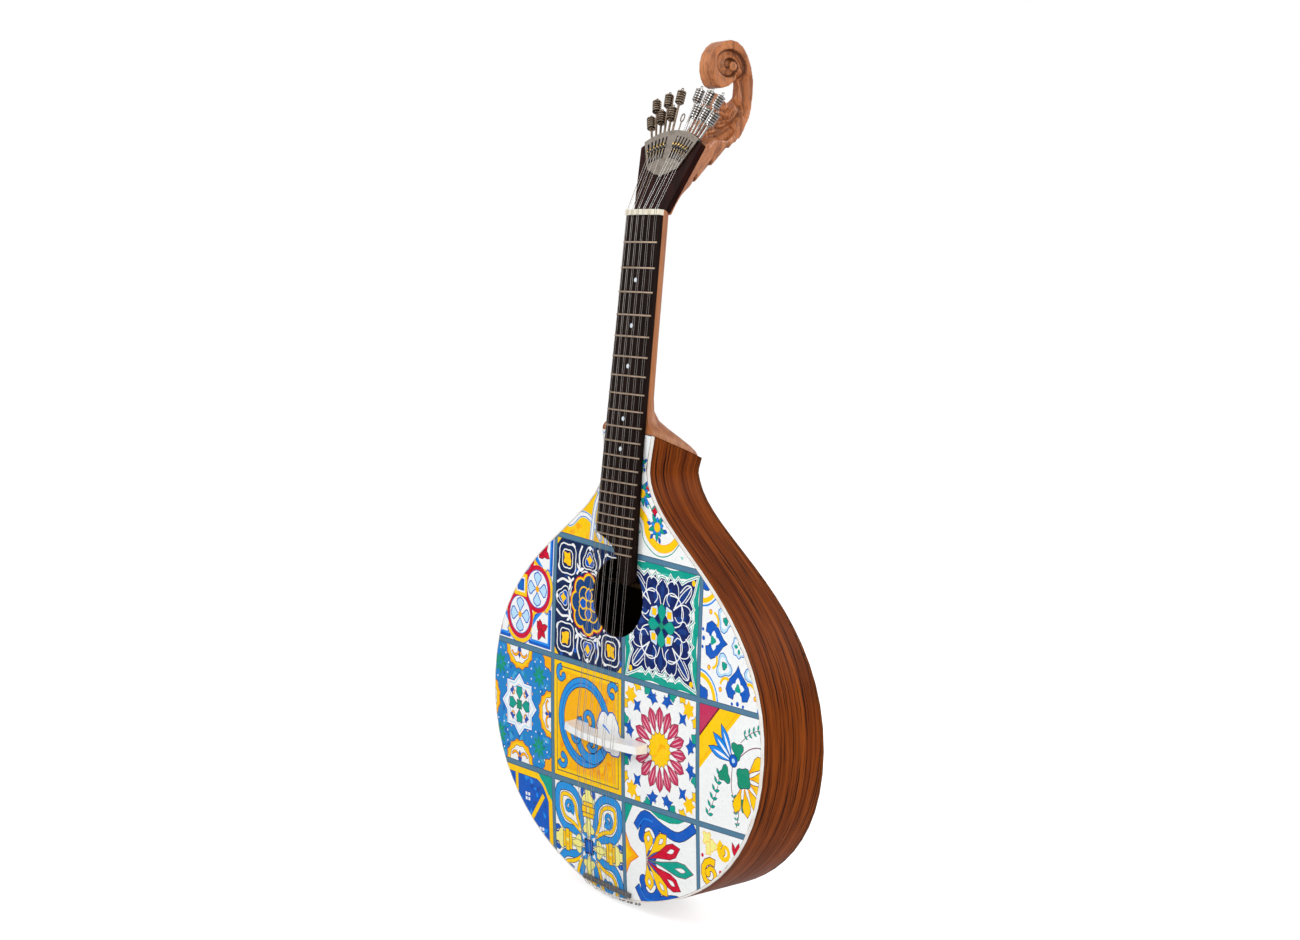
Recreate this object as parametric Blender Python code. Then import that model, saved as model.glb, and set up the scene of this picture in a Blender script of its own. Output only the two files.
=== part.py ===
"""Portuguese guitar (guitarra) of the Lisbon kind: twelve strings in six pairs, a fan-shaped
tuning machine of twelve screws, and a carved scroll at the head.

Row frame, in metres: the soundboard faces -Y, +Z runs up the body to the head, +X is the treble
side. The origin is the middle of the soundboard's lower edge, at the front, where a stand holds it.
Each piece is one closed solid, and glued pieces stay one glue line (GAP) apart.
"""
from math import atan2, cos, pi, radians, sin, sqrt, tan

import bmesh
import bpy
from mathutils import Vector
from mathutils.geometry import interpolate_bezier

MM = 0.001
GAP = 0.3 * MM                      # glue line, and the running gap between sliding pieces

# Body outline, seen from the front: three curves from the tail to the neck joint.
BODY_LENGTH = 438 * MM
BODY_HALF_WIDTH = 197 * MM
WIDEST_Z = 174 * MM
TAIL_HANDLE = 52 * MM
LOWER_HANDLE = 135 * MM
UPPER_HANDLE = 146 * MM
WAIST_HANDLE = 67 * MM
WAIST_FLARE = 13 * MM
WAIST_HALF_WIDTH = 32.5 * MM
WAIST_TO_TOP = 24 * MM
WAIST_Z = BODY_LENGTH - WAIST_TO_TOP
TOP_HALF_WIDTH = 36.5 * MM
LOWER_STEPS, UPPER_STEPS = 19, 20

# Body depth and plates.
TAIL_DEPTH = 85 * MM
BACK_TAPER = 0.058                  # the back plane comes forward this much per metre of height
JOINT_TILT = radians(19.5)          # the heel joint slopes down towards the back
JOINT_REACH = 38 * MM               # height of the outline that is cut along the joint
JOINT_START = BODY_LENGTH - JOINT_REACH
SOUNDBOARD_THICK = 2.5 * MM
SOUNDBOARD_DOME = 5 * MM
DOME_CENTRE_Z = 200 * MM
BACK_THICK = 2.8 * MM
RIB_THICK = 2.5 * MM
BINDING_WIDTH = 1.6 * MM
SOUNDHOLE_RADIUS = 36.5 * MM
SOUNDHOLE_Z = 284.5 * MM
LINING_WIDTH = 6 * MM
LINING_DEPTH = 9 * MM
BRACE_WIDTH = 8 * MM
BRACE_DEPTH = 13 * MM
TOP_BRACE_Z = (222 * MM, 336 * MM)
BACK_BRACE_Z = (120 * MM, 285 * MM)
NECK_BLOCK_HALF_WIDTH = 28 * MM
NECK_BLOCK_HEIGHT = 44 * MM
LINING_TO_BLOCK = 8 * MM
LINING_TOP_Z = BODY_LENGTH - NECK_BLOCK_HEIGHT - LINING_TO_BLOCK
TAIL_BLOCK_HALF_WIDTH = 24 * MM
TAIL_BLOCK_HEIGHT = 20 * MM

# Neck, fingerboard and nut. Distances down the neck start at the nut's lower face.
SCALE = 440 * MM                    # the frets follow this scale
NECK_LEAN = radians(3.7)
NUT_TO_BODY = 198.5 * MM
BOARD_HEIGHT = 6.2 * MM             # crown of the board above the soundboard's edge, at the body
BOARD_THICK = 5.8 * MM
BOARD_RADIUS = 165 * MM
NUT_WIDTH = 47.5 * MM
TWELFTH_FRET_WIDTH = 53 * MM
FRET_COUNT = 21
FRET_HEIGHT = 1.0 * MM
FRET_WIDTH = 1.8 * MM
BOARD_END_BASS = 293.5 * MM
BOARD_END_TREBLE = 337 * MM
BOARD_TIP_HALF_WIDTH = 6 * MM
NUT_LENGTH = 5 * MM
NUT_RISE = 1.6 * MM                 # top of the nut above the board's crown
STRING_SLOT_WIDTH = 1.0 * MM
STRING_SLOT_DEPTH = 1.0 * MM
NECK_DEPTH_NUT = 17 * MM            # wood below the board
NECK_DEPTH_BODY = 18.5 * MM
WEDGE_TO_JOINT = 30 * MM
WEDGE_TOP_Z = BODY_LENGTH - WEDGE_TO_JOINT

# Head: a plate that leans back from the neck, a wedge of wood behind it, and the scroll.
HEAD_LEAN = radians(20)
HEAD_SETBACK = 8 * MM               # face of the head plate behind the board's crown, at the nut
HEAD_PLATE_THICK = 6 * MM
HEAD_HALF_WIDTH_NUT = 22.5 * MM
HEAD_HALF_WIDTH_TOP = 42.5 * MM
HEAD_CORNER_V = 69 * MM
HEAD_ARC_RADIUS = 72 * MM
HEAD_SHOULDER = 2 * MM              # plain wood above the plate's corners
HEAD_WEDGE_DEPTH = 13.6 * MM
HEAD_WEDGE_START = 17 * MM          # the wedge grows thicker above this
HEAD_ROUND_LENGTH = 36 * MM         # its back is round like the neck's at first
SCROLL_HALF_WIDTH = 12.5 * MM
SCROLL_UNIT = 1 * MM                # one unit of the scroll's side view

# Fan tuning machine. Angles and radii start at the fan's centre, on the head plate's middle line.
FAN_CENTRE_V = 10 * MM
FAN_RADIUS = 73.5 * MM
FAN_HALF_ANGLE = radians(31)
FAN_FOOT_RADIUS = 40.5 * MM
FAN_PLATE_THICK = 1.2 * MM
FAN_WALL_THICK = 3.3 * MM
FAN_WALL_DEPTH = 5.6 * MM
WINDOW_HALF_ANGLE = radians(29.2)
WINDOW_FOOT_RADIUS = 43 * MM
SCREWS_PER_SIDE = 6
FIRST_SCREW_ANGLE = radians(6.5)
SCREW_STEP = radians(4.1)
SLOT_LOW, SLOT_HIGH = 46 * MM, 68 * MM
SLOT_HALF_WIDTH = 1.0 * MM
SCREW_DEPTH = 3.2 * MM              # screw axis below the head plate's face
SCREW_TIP = 44.4 * MM
THREAD_RADIUS = 0.9 * MM
ROD_RADIUS = 1.25 * MM
SCREW_HOLE_RADIUS = 1.25 * MM
KNOB_RADIUS = 4.3 * MM
KNOB_LENGTH = 12 * MM
LONG_KNOB_AT, SHORT_KNOB_AT = 110 * MM, 94.5 * MM
KNOB_BALL_RADIUS = 1.7 * MM
HOOK_AT = 58.5 * MM
HOOK_LENGTH = 4 * MM
HOOK_HALF_WIDTH = 1.6 * MM
HOOK_STEM_HALF_WIDTH = 0.7 * MM
HOOK_RISE = 3.0 * MM                # hook tip above the head plate's face
RING_AT = 88 * MM
RING_HALF_WIDTH, RING_HALF_HEIGHT = 2.4 * MM, 3.9 * MM
RING_WIRE = 0.65 * MM

# Strings, bridge and tail.
COURSES = 6
NUT_COURSE_STEP = 7.9 * MM
NUT_PAIR_GAP = 2.2 * MM
BRIDGE_COURSE_STEP = 10.6 * MM
BRIDGE_PAIR_GAP = 2.8 * MM
TAIL_COURSE_STEP = 11.6 * MM
TAIL_PAIR_GAP = 4.6 * MM
STRING_RADIUS = (0.33, 0.2, 0.28, 0.18, 0.24, 0.16, 0.2, 0.2, 0.15, 0.15, 0.12, 0.12)
STRING_OVER_LAST_FRET = 0.8 * MM
BRIDGE_Z = 154 * MM
BRIDGE_HALF_LENGTH = 53 * MM
BRIDGE_TOP_THICK = 6.4 * MM
BRIDGE_FOOT_THICK = 9 * MM
BRIDGE_FOOT_LENGTH = 20 * MM
BRIDGE_ARCH = 6 * MM
TAIL_BAR_Z = 9.5 * MM
TAIL_BAR_HALF_LENGTH = 34 * MM
TAIL_BAR_THICK = 4.5 * MM
TAIL_BAR_RISE = 4.2 * MM
TAIL_BAR_FLAT = 1.0 * MM            # half width of the flat the strings cross
TAIL_PLATE_THICK = 1.0 * MM
TAIL_PLATE_Y = (6 * MM, 20 * MM)
PIN_Y = 12 * MM
PIN_RADIUS = 1.0 * MM
PIN_LENGTH = 5.5 * MM

MATERIALS = {                       # colour, roughness, metallic
    "painted_top": ((0.80, 0.83, 0.84), 0.35, 0.0),
    "walnut": ((0.24, 0.105, 0.04), 0.35, 0.0),
    "cedar": ((0.48, 0.2, 0.085), 0.42, 0.0),
    "spruce": ((0.72, 0.55, 0.34), 0.6, 0.0),
    "ebony": ((0.022, 0.014, 0.012), 0.4, 0.0),
    "rosewood": ((0.055, 0.012, 0.008), 0.25, 0.0),
    "bone": ((0.86, 0.8, 0.68), 0.35, 0.0),
    "white_edge": ((0.85, 0.82, 0.78), 0.35, 0.0),
    "nickel": ((0.52, 0.49, 0.45), 0.3, 1.0),
    "knob_steel": ((0.6, 0.58, 0.56), 0.28, 1.0),
    "brass": ((0.62, 0.46, 0.2), 0.3, 1.0),
    "steel": ((0.75, 0.75, 0.77), 0.22, 1.0),
}


def clear_scene():
    for obj in list(bpy.data.objects):
        bpy.data.objects.remove(obj, do_unlink=True)


def material(name):
    found = bpy.data.materials.get(name)
    if found:
        return found
    colour, roughness, metallic = MATERIALS[name]
    made = bpy.data.materials.new(name)
    made.use_nodes = True
    shader = made.node_tree.nodes["Principled BSDF"]
    shader.inputs["Base Color"].default_value = (*colour, 1.0)
    shader.inputs["Roughness"].default_value = roughness
    shader.inputs["Metallic"].default_value = metallic
    return made


def add_object(name, bm, material_name, smooth=False, origin=Vector((0, 0, 0))):
    """Turn a bmesh into a scene object with outward faces, its own material and its own origin."""
    bmesh.ops.recalc_face_normals(bm, faces=bm.faces)
    bmesh.ops.translate(bm, verts=bm.verts, vec=-origin)
    mesh = bpy.data.meshes.new(name)
    bm.to_mesh(mesh)
    bm.free()
    for face in mesh.polygons:
        face.use_smooth = smooth
    obj = bpy.data.objects.new(name, mesh)
    obj.location = origin
    bpy.context.scene.collection.objects.link(obj)
    if material_name:
        mesh.materials.append(material(material_name))
    return obj


def add_rings(bm, rings):
    """Skin a closed solid over rings of equal length, with a face at each end."""
    made = [[bm.verts.new(point) for point in ring] for ring in rings]
    for low, high in zip(made, made[1:]):
        for i in range(len(low)):
            j = (i + 1) % len(low)
            bm.faces.new((low[i], low[j], high[j], high[i]))
    bm.faces.new(made[0][::-1])
    bm.faces.new(made[-1])


def loft(name, rings, material_name, smooth=False):
    bm = bmesh.new()
    add_rings(bm, rings)
    return add_object(name, bm, material_name, smooth)


def cutter(name, bm):
    """A hidden tool body for a Boolean."""
    obj = add_object(name, bm, None)
    obj.hide_render = True
    obj.display_type = "WIRE"
    return obj


def boolean(obj, tool, operation="DIFFERENCE"):
    mod = obj.modifiers.new(operation.lower(), "BOOLEAN")
    mod.operation = operation
    mod.solver = "EXACT"
    mod.object = tool


def lerp(a, b, share):
    return a + (b - a) * share


def smooth_line(anchors, steps, closed=False):
    """A Catmull-Rom curve through a few anchor points."""
    count = len(anchors)
    points = []
    for i in range(count if closed else count - 1):
        before = anchors[(i - 1) % count] if closed or i else anchors[0]
        start, end = anchors[i], anchors[(i + 1) % count]
        after = anchors[(i + 2) % count] if closed or i + 2 < count else anchors[-1]
        for k in range(steps):
            t = k / steps
            points.append(0.5 * (2 * start + (end - before) * t
                                 + (2 * before - 5 * start + 4 * end - after) * t * t
                                 + (3 * start - before - 3 * end + after) * t ** 3))
    return points if closed else points + [anchors[-1]]


# Body

def half_outline(inset=0.0):
    """Points (x, z) of the treble half, tail to neck joint, moved inwards by inset."""
    tail, top = Vector((0, 0, 0)), Vector((TOP_HALF_WIDTH, 0, BODY_LENGTH))
    widest = Vector((BODY_HALF_WIDTH, 0, WIDEST_Z))
    waist = Vector((WAIST_HALF_WIDTH, 0, WAIST_Z))
    lower = interpolate_bezier(tail, tail + Vector((TAIL_HANDLE, 0, 0)),
                               widest - Vector((0, 0, LOWER_HANDLE)), widest, LOWER_STEPS + 1)
    upper = interpolate_bezier(widest, widest + Vector((0, 0, UPPER_HANDLE)),
                               waist - Vector((WAIST_FLARE, 0, WAIST_HANDLE)), waist,
                               UPPER_STEPS + 1)
    line = list(lower) + list(upper[1:]) + [top]
    points = []
    for i, point in enumerate(line):
        if i == 0:
            along = Vector((1, 0, 0))
        else:
            along = (line[min(i + 1, len(line) - 1)] - line[i - 1]).normalized()
        moved = point - Vector((along.z, 0, -along.x)) * inset
        points.append((max(moved.x, 0.0), min(moved.z, BODY_LENGTH)))
    return points


def full_outline(inset=0.0):
    """The closed outline: up the treble side and down the bass side."""
    half = half_outline(inset)
    return half + [(-x, z) for x, z in reversed(half[1:])]


def half_width_at(z, inset=0.0):
    """Half width of the upper or lower bout at a height."""
    line = half_outline(inset)
    for (x0, z0), (x1, z1) in zip(line, line[1:]):
        if z0 <= z <= z1:
            return lerp(x0, x1, (z - z0) / (z1 - z0))
    return line[-1][0]


def body_point(x, z, depth, taper=0.0):
    """A point on the plane y = depth - taper * z, with the top end cut along the heel joint."""
    share = max(0.0, (z - JOINT_START) / (BODY_LENGTH - JOINT_START))
    drop = share * tan(JOINT_TILT)
    height = (z - drop * depth) / (1 - drop * taper)
    return Vector((x, depth - taper * height, height))


def dome_at(x, z):
    """How far the soundboard rises in front of its edge, at a point."""
    along = Vector((x, z - DOME_CENTRE_Z))
    if along.length < 1e-6:
        return SOUNDBOARD_DOME
    heading = along.normalized()
    line = full_outline(BINDING_WIDTH + GAP)
    best = None
    for (x0, z0), (x1, z1) in zip(line, line[1:] + line[:1]):
        a, b = Vector((x0, z0 - DOME_CENTRE_Z)), Vector((x1, z1 - DOME_CENTRE_Z))
        edge = b - a
        det = heading.x * edge.y - heading.y * edge.x
        if abs(det) < 1e-12:
            continue
        reach = (a.x * edge.y - a.y * edge.x) / det
        share = (a.x * heading.y - a.y * heading.x) / det
        if reach > 0 and -1e-6 <= share <= 1 + 1e-6:
            best = reach if best is None else min(best, reach)
    share = min(1.0, along.length / best)
    return SOUNDBOARD_DOME * (1 - share * share)


def make_soundboard():
    line = full_outline(BINDING_WIDTH + GAP)
    shares = (1.0, 0.86, 0.7, 0.52, 0.32)
    bm = bmesh.new()
    sheets = []
    for depth in (0.0, SOUNDBOARD_THICK):
        rings = []
        for share in shares:
            rise = SOUNDBOARD_DOME * (1 - share * share)
            ring = []
            for x, z in line:
                edge = body_point(x, z, depth)
                ring.append(bm.verts.new((edge.x * share, edge.y - rise,
                                          lerp(DOME_CENTRE_Z, edge.z, share))))
            rings.append(ring)
        centre = bm.verts.new((0, depth - SOUNDBOARD_DOME, DOME_CENTRE_Z))
        count = len(line)
        for outer, inner in zip(rings, rings[1:]):
            for i in range(count):
                j = (i + 1) % count
                bm.faces.new((outer[i], outer[j], inner[j], inner[i]))
        for i in range(count):
            bm.faces.new((rings[-1][i], rings[-1][(i + 1) % count], centre))
        sheets.append(rings[0])
    for i in range(len(line)):
        j = (i + 1) % len(line)
        bm.faces.new((sheets[0][i], sheets[0][j], sheets[1][j], sheets[1][i]))
    board = add_object("soundboard", bm, "painted_top")
    bm = bmesh.new()
    sides = 48
    rings = []
    for y in (-3 * SOUNDBOARD_DOME, 3 * SOUNDBOARD_DOME):
        rings.append([Vector((SOUNDHOLE_RADIUS * cos(2 * pi * i / sides), y,
                              SOUNDHOLE_Z + SOUNDHOLE_RADIUS * sin(2 * pi * i / sides)))
                      for i in range(sides)])
    add_rings(bm, rings)
    boolean(board, cutter("soundhole_cutter", bm))


def make_back():
    line = full_outline()
    outer = [body_point(x, z, TAIL_DEPTH, BACK_TAPER) for x, z in line]
    inner = [body_point(x, z, TAIL_DEPTH - BACK_THICK, BACK_TAPER) for x, z in line]
    loft("back", [inner, outer], "walnut")


def rib_ring(x, z, outer, inner):
    """Four corners of the rib's section at one place on the outline."""
    front, rear = SOUNDBOARD_THICK + GAP, TAIL_DEPTH - BACK_THICK - GAP
    return [body_point(outer[0], outer[1], front), body_point(outer[0], outer[1], rear, BACK_TAPER),
            body_point(inner[0], inner[1], rear, BACK_TAPER), body_point(inner[0], inner[1], front)]


def make_ribs():
    outer, inner = half_outline(), half_outline(RIB_THICK)
    for name, side in (("rib_treble", 1), ("rib_bass", -1)):
        rings = []
        for out, into in zip(outer, inner):
            ring = rib_ring(*out, (max(out[0], GAP / 2), out[1]), (max(into[0], GAP / 2), into[1]))
            rings.append([Vector((side * p.x, p.y, p.z)) for p in ring])
        loft(name, rings, "walnut")


def make_strip(name, inset, width, near, far, taper, material_name, top=BODY_LENGTH):
    """A strip that follows the outline from the bass side round the tail to the treble side."""
    rings = []
    out, into = half_outline(inset), half_outline(inset + width)
    pairs = [pair for pair in zip(out, into) if pair[0][1] <= top + 1e-6]
    for side, run in ((-1, reversed(pairs[1:])), (1, pairs)):
        for (xo, zo), (xi, zi) in run:
            rings.append([body_point(side * xo, zo, near, taper),
                          body_point(side * xo, zo, far, taper),
                          body_point(side * xi, zi, far, taper),
                          body_point(side * xi, zi, near, taper)])
    loft(name, rings, material_name)


def make_blocks():
    front = SOUNDBOARD_THICK + GAP
    rear = TAIL_DEPTH - BACK_THICK - GAP
    rings = []
    for side in (-1, 1):
        x = side * NECK_BLOCK_HALF_WIDTH
        low = BODY_LENGTH - NECK_BLOCK_HEIGHT
        drop = tan(JOINT_TILT)
        high_rear = (BODY_LENGTH - GAP - drop * rear) / (1 - drop * BACK_TAPER)
        rings.append([Vector((x, front, low)), Vector((x, rear - BACK_TAPER * low, low)),
                      Vector((x, rear - BACK_TAPER * high_rear, high_rear)),
                      Vector((x, front, BODY_LENGTH - GAP - drop * front))])
    loft("neck_block", rings, "spruce")
    rings = []
    near = front + LINING_DEPTH + GAP
    far = rear - LINING_DEPTH - GAP
    for side in (-1, 1):
        x = side * TAIL_BLOCK_HALF_WIDTH
        low = min(z for edge, z in half_outline(RIB_THICK + GAP) if edge >= TAIL_BLOCK_HALF_WIDTH)
        rings.append([Vector((x, near, low)), Vector((x, far - BACK_TAPER * low, low)),
                      Vector((x, far - BACK_TAPER * (low + TAIL_BLOCK_HEIGHT),
                              low + TAIL_BLOCK_HEIGHT)),
                      Vector((x, near, low + TAIL_BLOCK_HEIGHT))])
    loft("tail_block", rings, "spruce")


def make_braces():
    inset = RIB_THICK + LINING_WIDTH + 2 * GAP
    steps = 14
    for name, height in zip(("top_brace_lower", "top_brace_upper"), TOP_BRACE_Z):
        reach = min(half_width_at(height + side * BRACE_WIDTH / 2, inset) for side in (-1, 1))
        rings = []
        for i in range(steps + 1):
            x = lerp(-reach, reach, i / steps)
            ring = []
            for side, far in ((-1, 0), (1, 0), (1, 1), (-1, 1)):
                z = height + side * BRACE_WIDTH / 2 * (1 - 0.4 * far)
                near = SOUNDBOARD_THICK + GAP - dome_at(x, z)
                ends = min(1.0, 4 * (1 - abs(x) / reach) + 0.35)
                ring.append(Vector((x, near + far * BRACE_DEPTH * ends, z)))
            rings.append(ring)
        loft(name, rings, "spruce")
    for name, height in zip(("back_brace_lower", "back_brace_upper"), BACK_BRACE_Z):
        reach = min(half_width_at(height + side * BRACE_WIDTH / 2, inset) for side in (-1, 1))
        rings = []
        for i in range(steps + 1):
            x = lerp(-reach, reach, i / steps)
            ends = min(1.0, 4 * (1 - abs(x) / reach) + 0.35)
            ring = []
            for side, far in ((-1, 0), (1, 0), (1, 1), (-1, 1)):
                z = height + side * BRACE_WIDTH / 2 * (1 - 0.4 * far)
                near = TAIL_DEPTH - BACK_THICK - GAP - BACK_TAPER * z
                ring.append(Vector((x, near - far * BRACE_DEPTH * ends, z)))
            rings.append(ring)
        loft(name, rings, "spruce")


# Neck, fingerboard and nut

def crown_y(z):
    """Y of the fingerboard's crown line at a height."""
    return -BOARD_HEIGHT + (z - BODY_LENGTH) * tan(NECK_LEAN)


def neck_point(x, down, rise):
    """A point at a distance down the neck from the nut, and above the board's crown line."""
    base = Vector((x, -BOARD_HEIGHT, BODY_LENGTH))
    up = Vector((0, sin(NECK_LEAN), cos(NECK_LEAN)))
    out = Vector((0, -cos(NECK_LEAN), sin(NECK_LEAN)))
    return base + up * (NUT_TO_BODY - down) + out * rise


def board_half_width(down):
    twelfth = SCALE / 2
    return lerp(NUT_WIDTH, TWELFTH_FRET_WIDTH, down / twelfth) / 2


def camber(x):
    """Drop of the board's round top at a distance from its middle line."""
    return BOARD_RADIUS - sqrt(BOARD_RADIUS ** 2 - x * x)


def fret_at(number):
    return SCALE * (1 - 2 ** (-number / 12))


def board_end(margin=0.0):
    """The slanting lower end: short on the bass side, a rounded tongue on the treble side."""
    half = board_half_width(BOARD_END_TREBLE)
    tip = half - BOARD_TIP_HALF_WIDTH
    slope = smooth_line([Vector((-half - 2 * MM, BOARD_END_BASS - 1 * MM)),
                         Vector((0, BOARD_END_BASS + 9 * MM)),
                         Vector((tip - BOARD_TIP_HALF_WIDTH, BOARD_END_TREBLE - 8 * MM))], 6)
    centre = Vector((tip, BOARD_END_TREBLE - BOARD_TIP_HALF_WIDTH))
    arc = [centre + BOARD_TIP_HALF_WIDTH * Vector((cos(a), sin(a)))
           for a in (lerp(radians(150), 0, i / 8) for i in range(9))]
    return [Vector((p.x, p.y - margin)) for p in slope + arc[1:]]


def end_cutter(name, margin=0.0):
    """A tool that trims the fingerboard and its wedge along the board's lower end."""
    line = board_end(margin)
    far = BOARD_END_TREBLE + 30 * MM
    reach = 60 * MM
    profile = ([Vector((-reach, line[0].y)), *line, Vector((reach, line[-1].y)),
                Vector((reach, far)), Vector((-reach, far))])
    bm = bmesh.new()
    add_rings(bm, [[neck_point(p.x, p.y, rise) for p in profile] for rise in (-30 * MM, 15 * MM)])
    return cutter(name, bm)


def make_fingerboard():
    downs = [GAP]
    rises = [0.0]
    for number in range(1, FRET_COUNT + 1):
        at = fret_at(number)
        downs += [at - FRET_WIDTH / 2, at - FRET_WIDTH / 4, at + FRET_WIDTH / 4, at + FRET_WIDTH / 2]
        rises += [0.0, FRET_HEIGHT, FRET_HEIGHT, 0.0]
    downs.append(BOARD_END_TREBLE + 5 * MM)
    rises.append(0.0)
    rings = []
    across = 8
    for down, rise in zip(downs, rises):
        half = board_half_width(down)
        ring = [neck_point(-half, down, -BOARD_THICK), neck_point(half, down, -BOARD_THICK)]
        for i in range(across + 1):
            x = lerp(half, -half, i / across)
            ring.append(neck_point(x, down, rise - camber(x)))
        rings.append(ring)
    board = loft("fingerboard", rings, "ebony")
    boolean(board, end_cutter("board_end_cutter"))


def make_wedge():
    """The light strip of wood that carries the fingerboard over the soundboard."""
    low = neck_point(0, BOARD_END_TREBLE + 4 * MM, 0).z
    rings = []
    steps = 8
    for i in range(steps + 1):
        z = lerp(WEDGE_TOP_Z, low, i / steps)
        down = NUT_TO_BODY + (BODY_LENGTH - z) / cos(NECK_LEAN)
        half = board_half_width(down) - 0.5 * MM
        front = crown_y(z) + (BOARD_THICK + GAP) / cos(NECK_LEAN)
        rear = -dome_at(0, z) - GAP
        rings.append([Vector((-half, front, z)), Vector((half, front, z)),
                      Vector((half, rear, z)), Vector((-half, rear, z))])
    wedge = loft("fingerboard_wedge", rings, "cedar")
    boolean(wedge, end_cutter("wedge_end_cutter", 1.5 * MM))


def make_neck():
    """Shaft and heel in one piece, from the nut to the slanting joint on the body."""
    under = BOARD_THICK + GAP
    joint_depth = (TAIL_DEPTH - BACK_TAPER * (BODY_LENGTH - TAIL_DEPTH * tan(JOINT_TILT)))
    joint_reach = joint_depth / cos(JOINT_TILT)
    nut_end = -NUT_LENGTH - GAP
    body = NUT_TO_BODY - under * sin(NECK_LEAN) - 2 * GAP
    # distance down, tilt of the section, half width, depth and squareness of its round back
    stations = [
        (nut_end, HEAD_LEAN, NUT_WIDTH / 2, NECK_DEPTH_NUT, 2.0),
        (nut_end + 6 * MM, HEAD_LEAN * 0.6, NUT_WIDTH / 2, NECK_DEPTH_NUT, 2.0),
        (16 * MM, 0.0, board_half_width(16 * MM), NECK_DEPTH_NUT, 2.0),
        (body - 80 * MM, 0.0, board_half_width(body - 80 * MM), NECK_DEPTH_BODY - 1 * MM, 2.0),
        (body - 32 * MM, 0.0, board_half_width(body - 32 * MM), NECK_DEPTH_BODY, 2.0),
        (body - 21 * MM, radians(3), board_half_width(body), NECK_DEPTH_BODY + 2 * MM, 2.05),
        (body - 14 * MM, radians(7), lerp(board_half_width(body), TOP_HALF_WIDTH, 0.12),
         lerp(NECK_DEPTH_BODY, joint_reach, 0.2), 2.2),
        (body - 10 * MM, radians(11), lerp(board_half_width(body), TOP_HALF_WIDTH, 0.3),
         lerp(NECK_DEPTH_BODY, joint_reach, 0.45), 2.6),
        (body - 7.4 * MM, radians(15), lerp(board_half_width(body), TOP_HALF_WIDTH, 0.55),
         lerp(NECK_DEPTH_BODY, joint_reach, 0.72), 3.4),
        (body - 5.2 * MM, radians(18), lerp(board_half_width(body), TOP_HALF_WIDTH, 0.8),
         lerp(NECK_DEPTH_BODY, joint_reach, 0.93), 5.0),
        (body - 3.2 * MM, JOINT_TILT, TOP_HALF_WIDTH - 0.6 * MM, joint_reach - 0.6 * MM, 8.0),
        (body, JOINT_TILT, TOP_HALF_WIDTH, joint_reach + 0.4 * MM, 10.0),
    ]
    count = 20
    rings = []
    for down, tilt, half, depth, power in stations:
        front = neck_point(0, down, -under)
        into = Vector((0, cos(tilt), -sin(tilt)))
        ring = []
        for i in range(count + 1):
            angle = pi * i / count
            x = half * (1 if cos(angle) >= 0 else -1) * abs(cos(angle)) ** (2 / power)
            reach = depth * sin(angle) ** (2 / power)
            ring.append(front + Vector((x, 0, 0)) + into * reach)
        rings.append(ring)
    loft("neck", rings, "cedar")


def make_nut():
    """A bone bar with one slot for each string."""
    half = NUT_WIDTH / 2 + 0.4 * MM
    rings = []
    across = 10
    for down in (-NUT_LENGTH, 0.0):
        ring = [neck_point(-half, down, -BOARD_THICK), neck_point(half, down, -BOARD_THICK)]
        for i in range(across + 1):
            x = lerp(half, -half, i / across)
            ring.append(neck_point(x, down, NUT_RISE - camber(x)))
        rings.append(ring)
    nut = loft("nut", rings, "bone")
    bm = bmesh.new()
    for number in range(2 * COURSES):
        x = nut_x(number)
        floor = NUT_RISE - camber(x) - STRING_SLOT_DEPTH
        add_rings(bm, [[neck_point(x + side * STRING_SLOT_WIDTH / 2, down, rise)
                        for side, rise in ((-1, floor), (1, floor), (1, 5 * MM), (-1, 5 * MM))]
                       for down in (-NUT_LENGTH - 1 * MM, 1 * MM)])
    boolean(nut, cutter("nut_slot_cutter", bm))


# Head: positions on the head plate are (u, v, n), across, up and in front of its face.

HEAD_ORIGIN = Vector((0, crown_y(neck_point(0, 0, 0).z) + HEAD_SETBACK, neck_point(0, 0, 0).z))
HEAD_UP = Vector((0, sin(HEAD_LEAN), cos(HEAD_LEAN)))
HEAD_OUT = Vector((0, -cos(HEAD_LEAN), sin(HEAD_LEAN)))


def head_point(u, v, n):
    return HEAD_ORIGIN + Vector((u, 0, 0)) + HEAD_UP * v + HEAD_OUT * n


def head_coords(point):
    away = point - HEAD_ORIGIN
    return away.x, away.dot(HEAD_UP), away.dot(HEAD_OUT)


def fan_point(angle, radius, n):
    return head_point(radius * sin(angle), FAN_CENTRE_V + radius * cos(angle), n)


def fan_uv(angle, radius):
    return Vector((radius * sin(angle), FAN_CENTRE_V + radius * cos(angle)))


def head_foot_v():
    """Where the head plate starts: just above the neck's end face."""
    return head_coords(neck_point(0, -NUT_LENGTH - GAP, -BOARD_THICK - GAP))[1] + GAP


def head_half_width(v):
    foot = head_foot_v()
    return lerp(HEAD_HALF_WIDTH_NUT, HEAD_HALF_WIDTH_TOP, (v - foot) / (HEAD_CORNER_V - foot))


def arc_uv(radius, start, end, steps):
    return [fan_uv(lerp(start, end, i / steps), radius) for i in range(steps + 1)]


def head_prism(bm, outline, low, high):
    add_rings(bm, [[head_point(p.x, p.y, n) for p in outline] for n in (low, high)])


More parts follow.
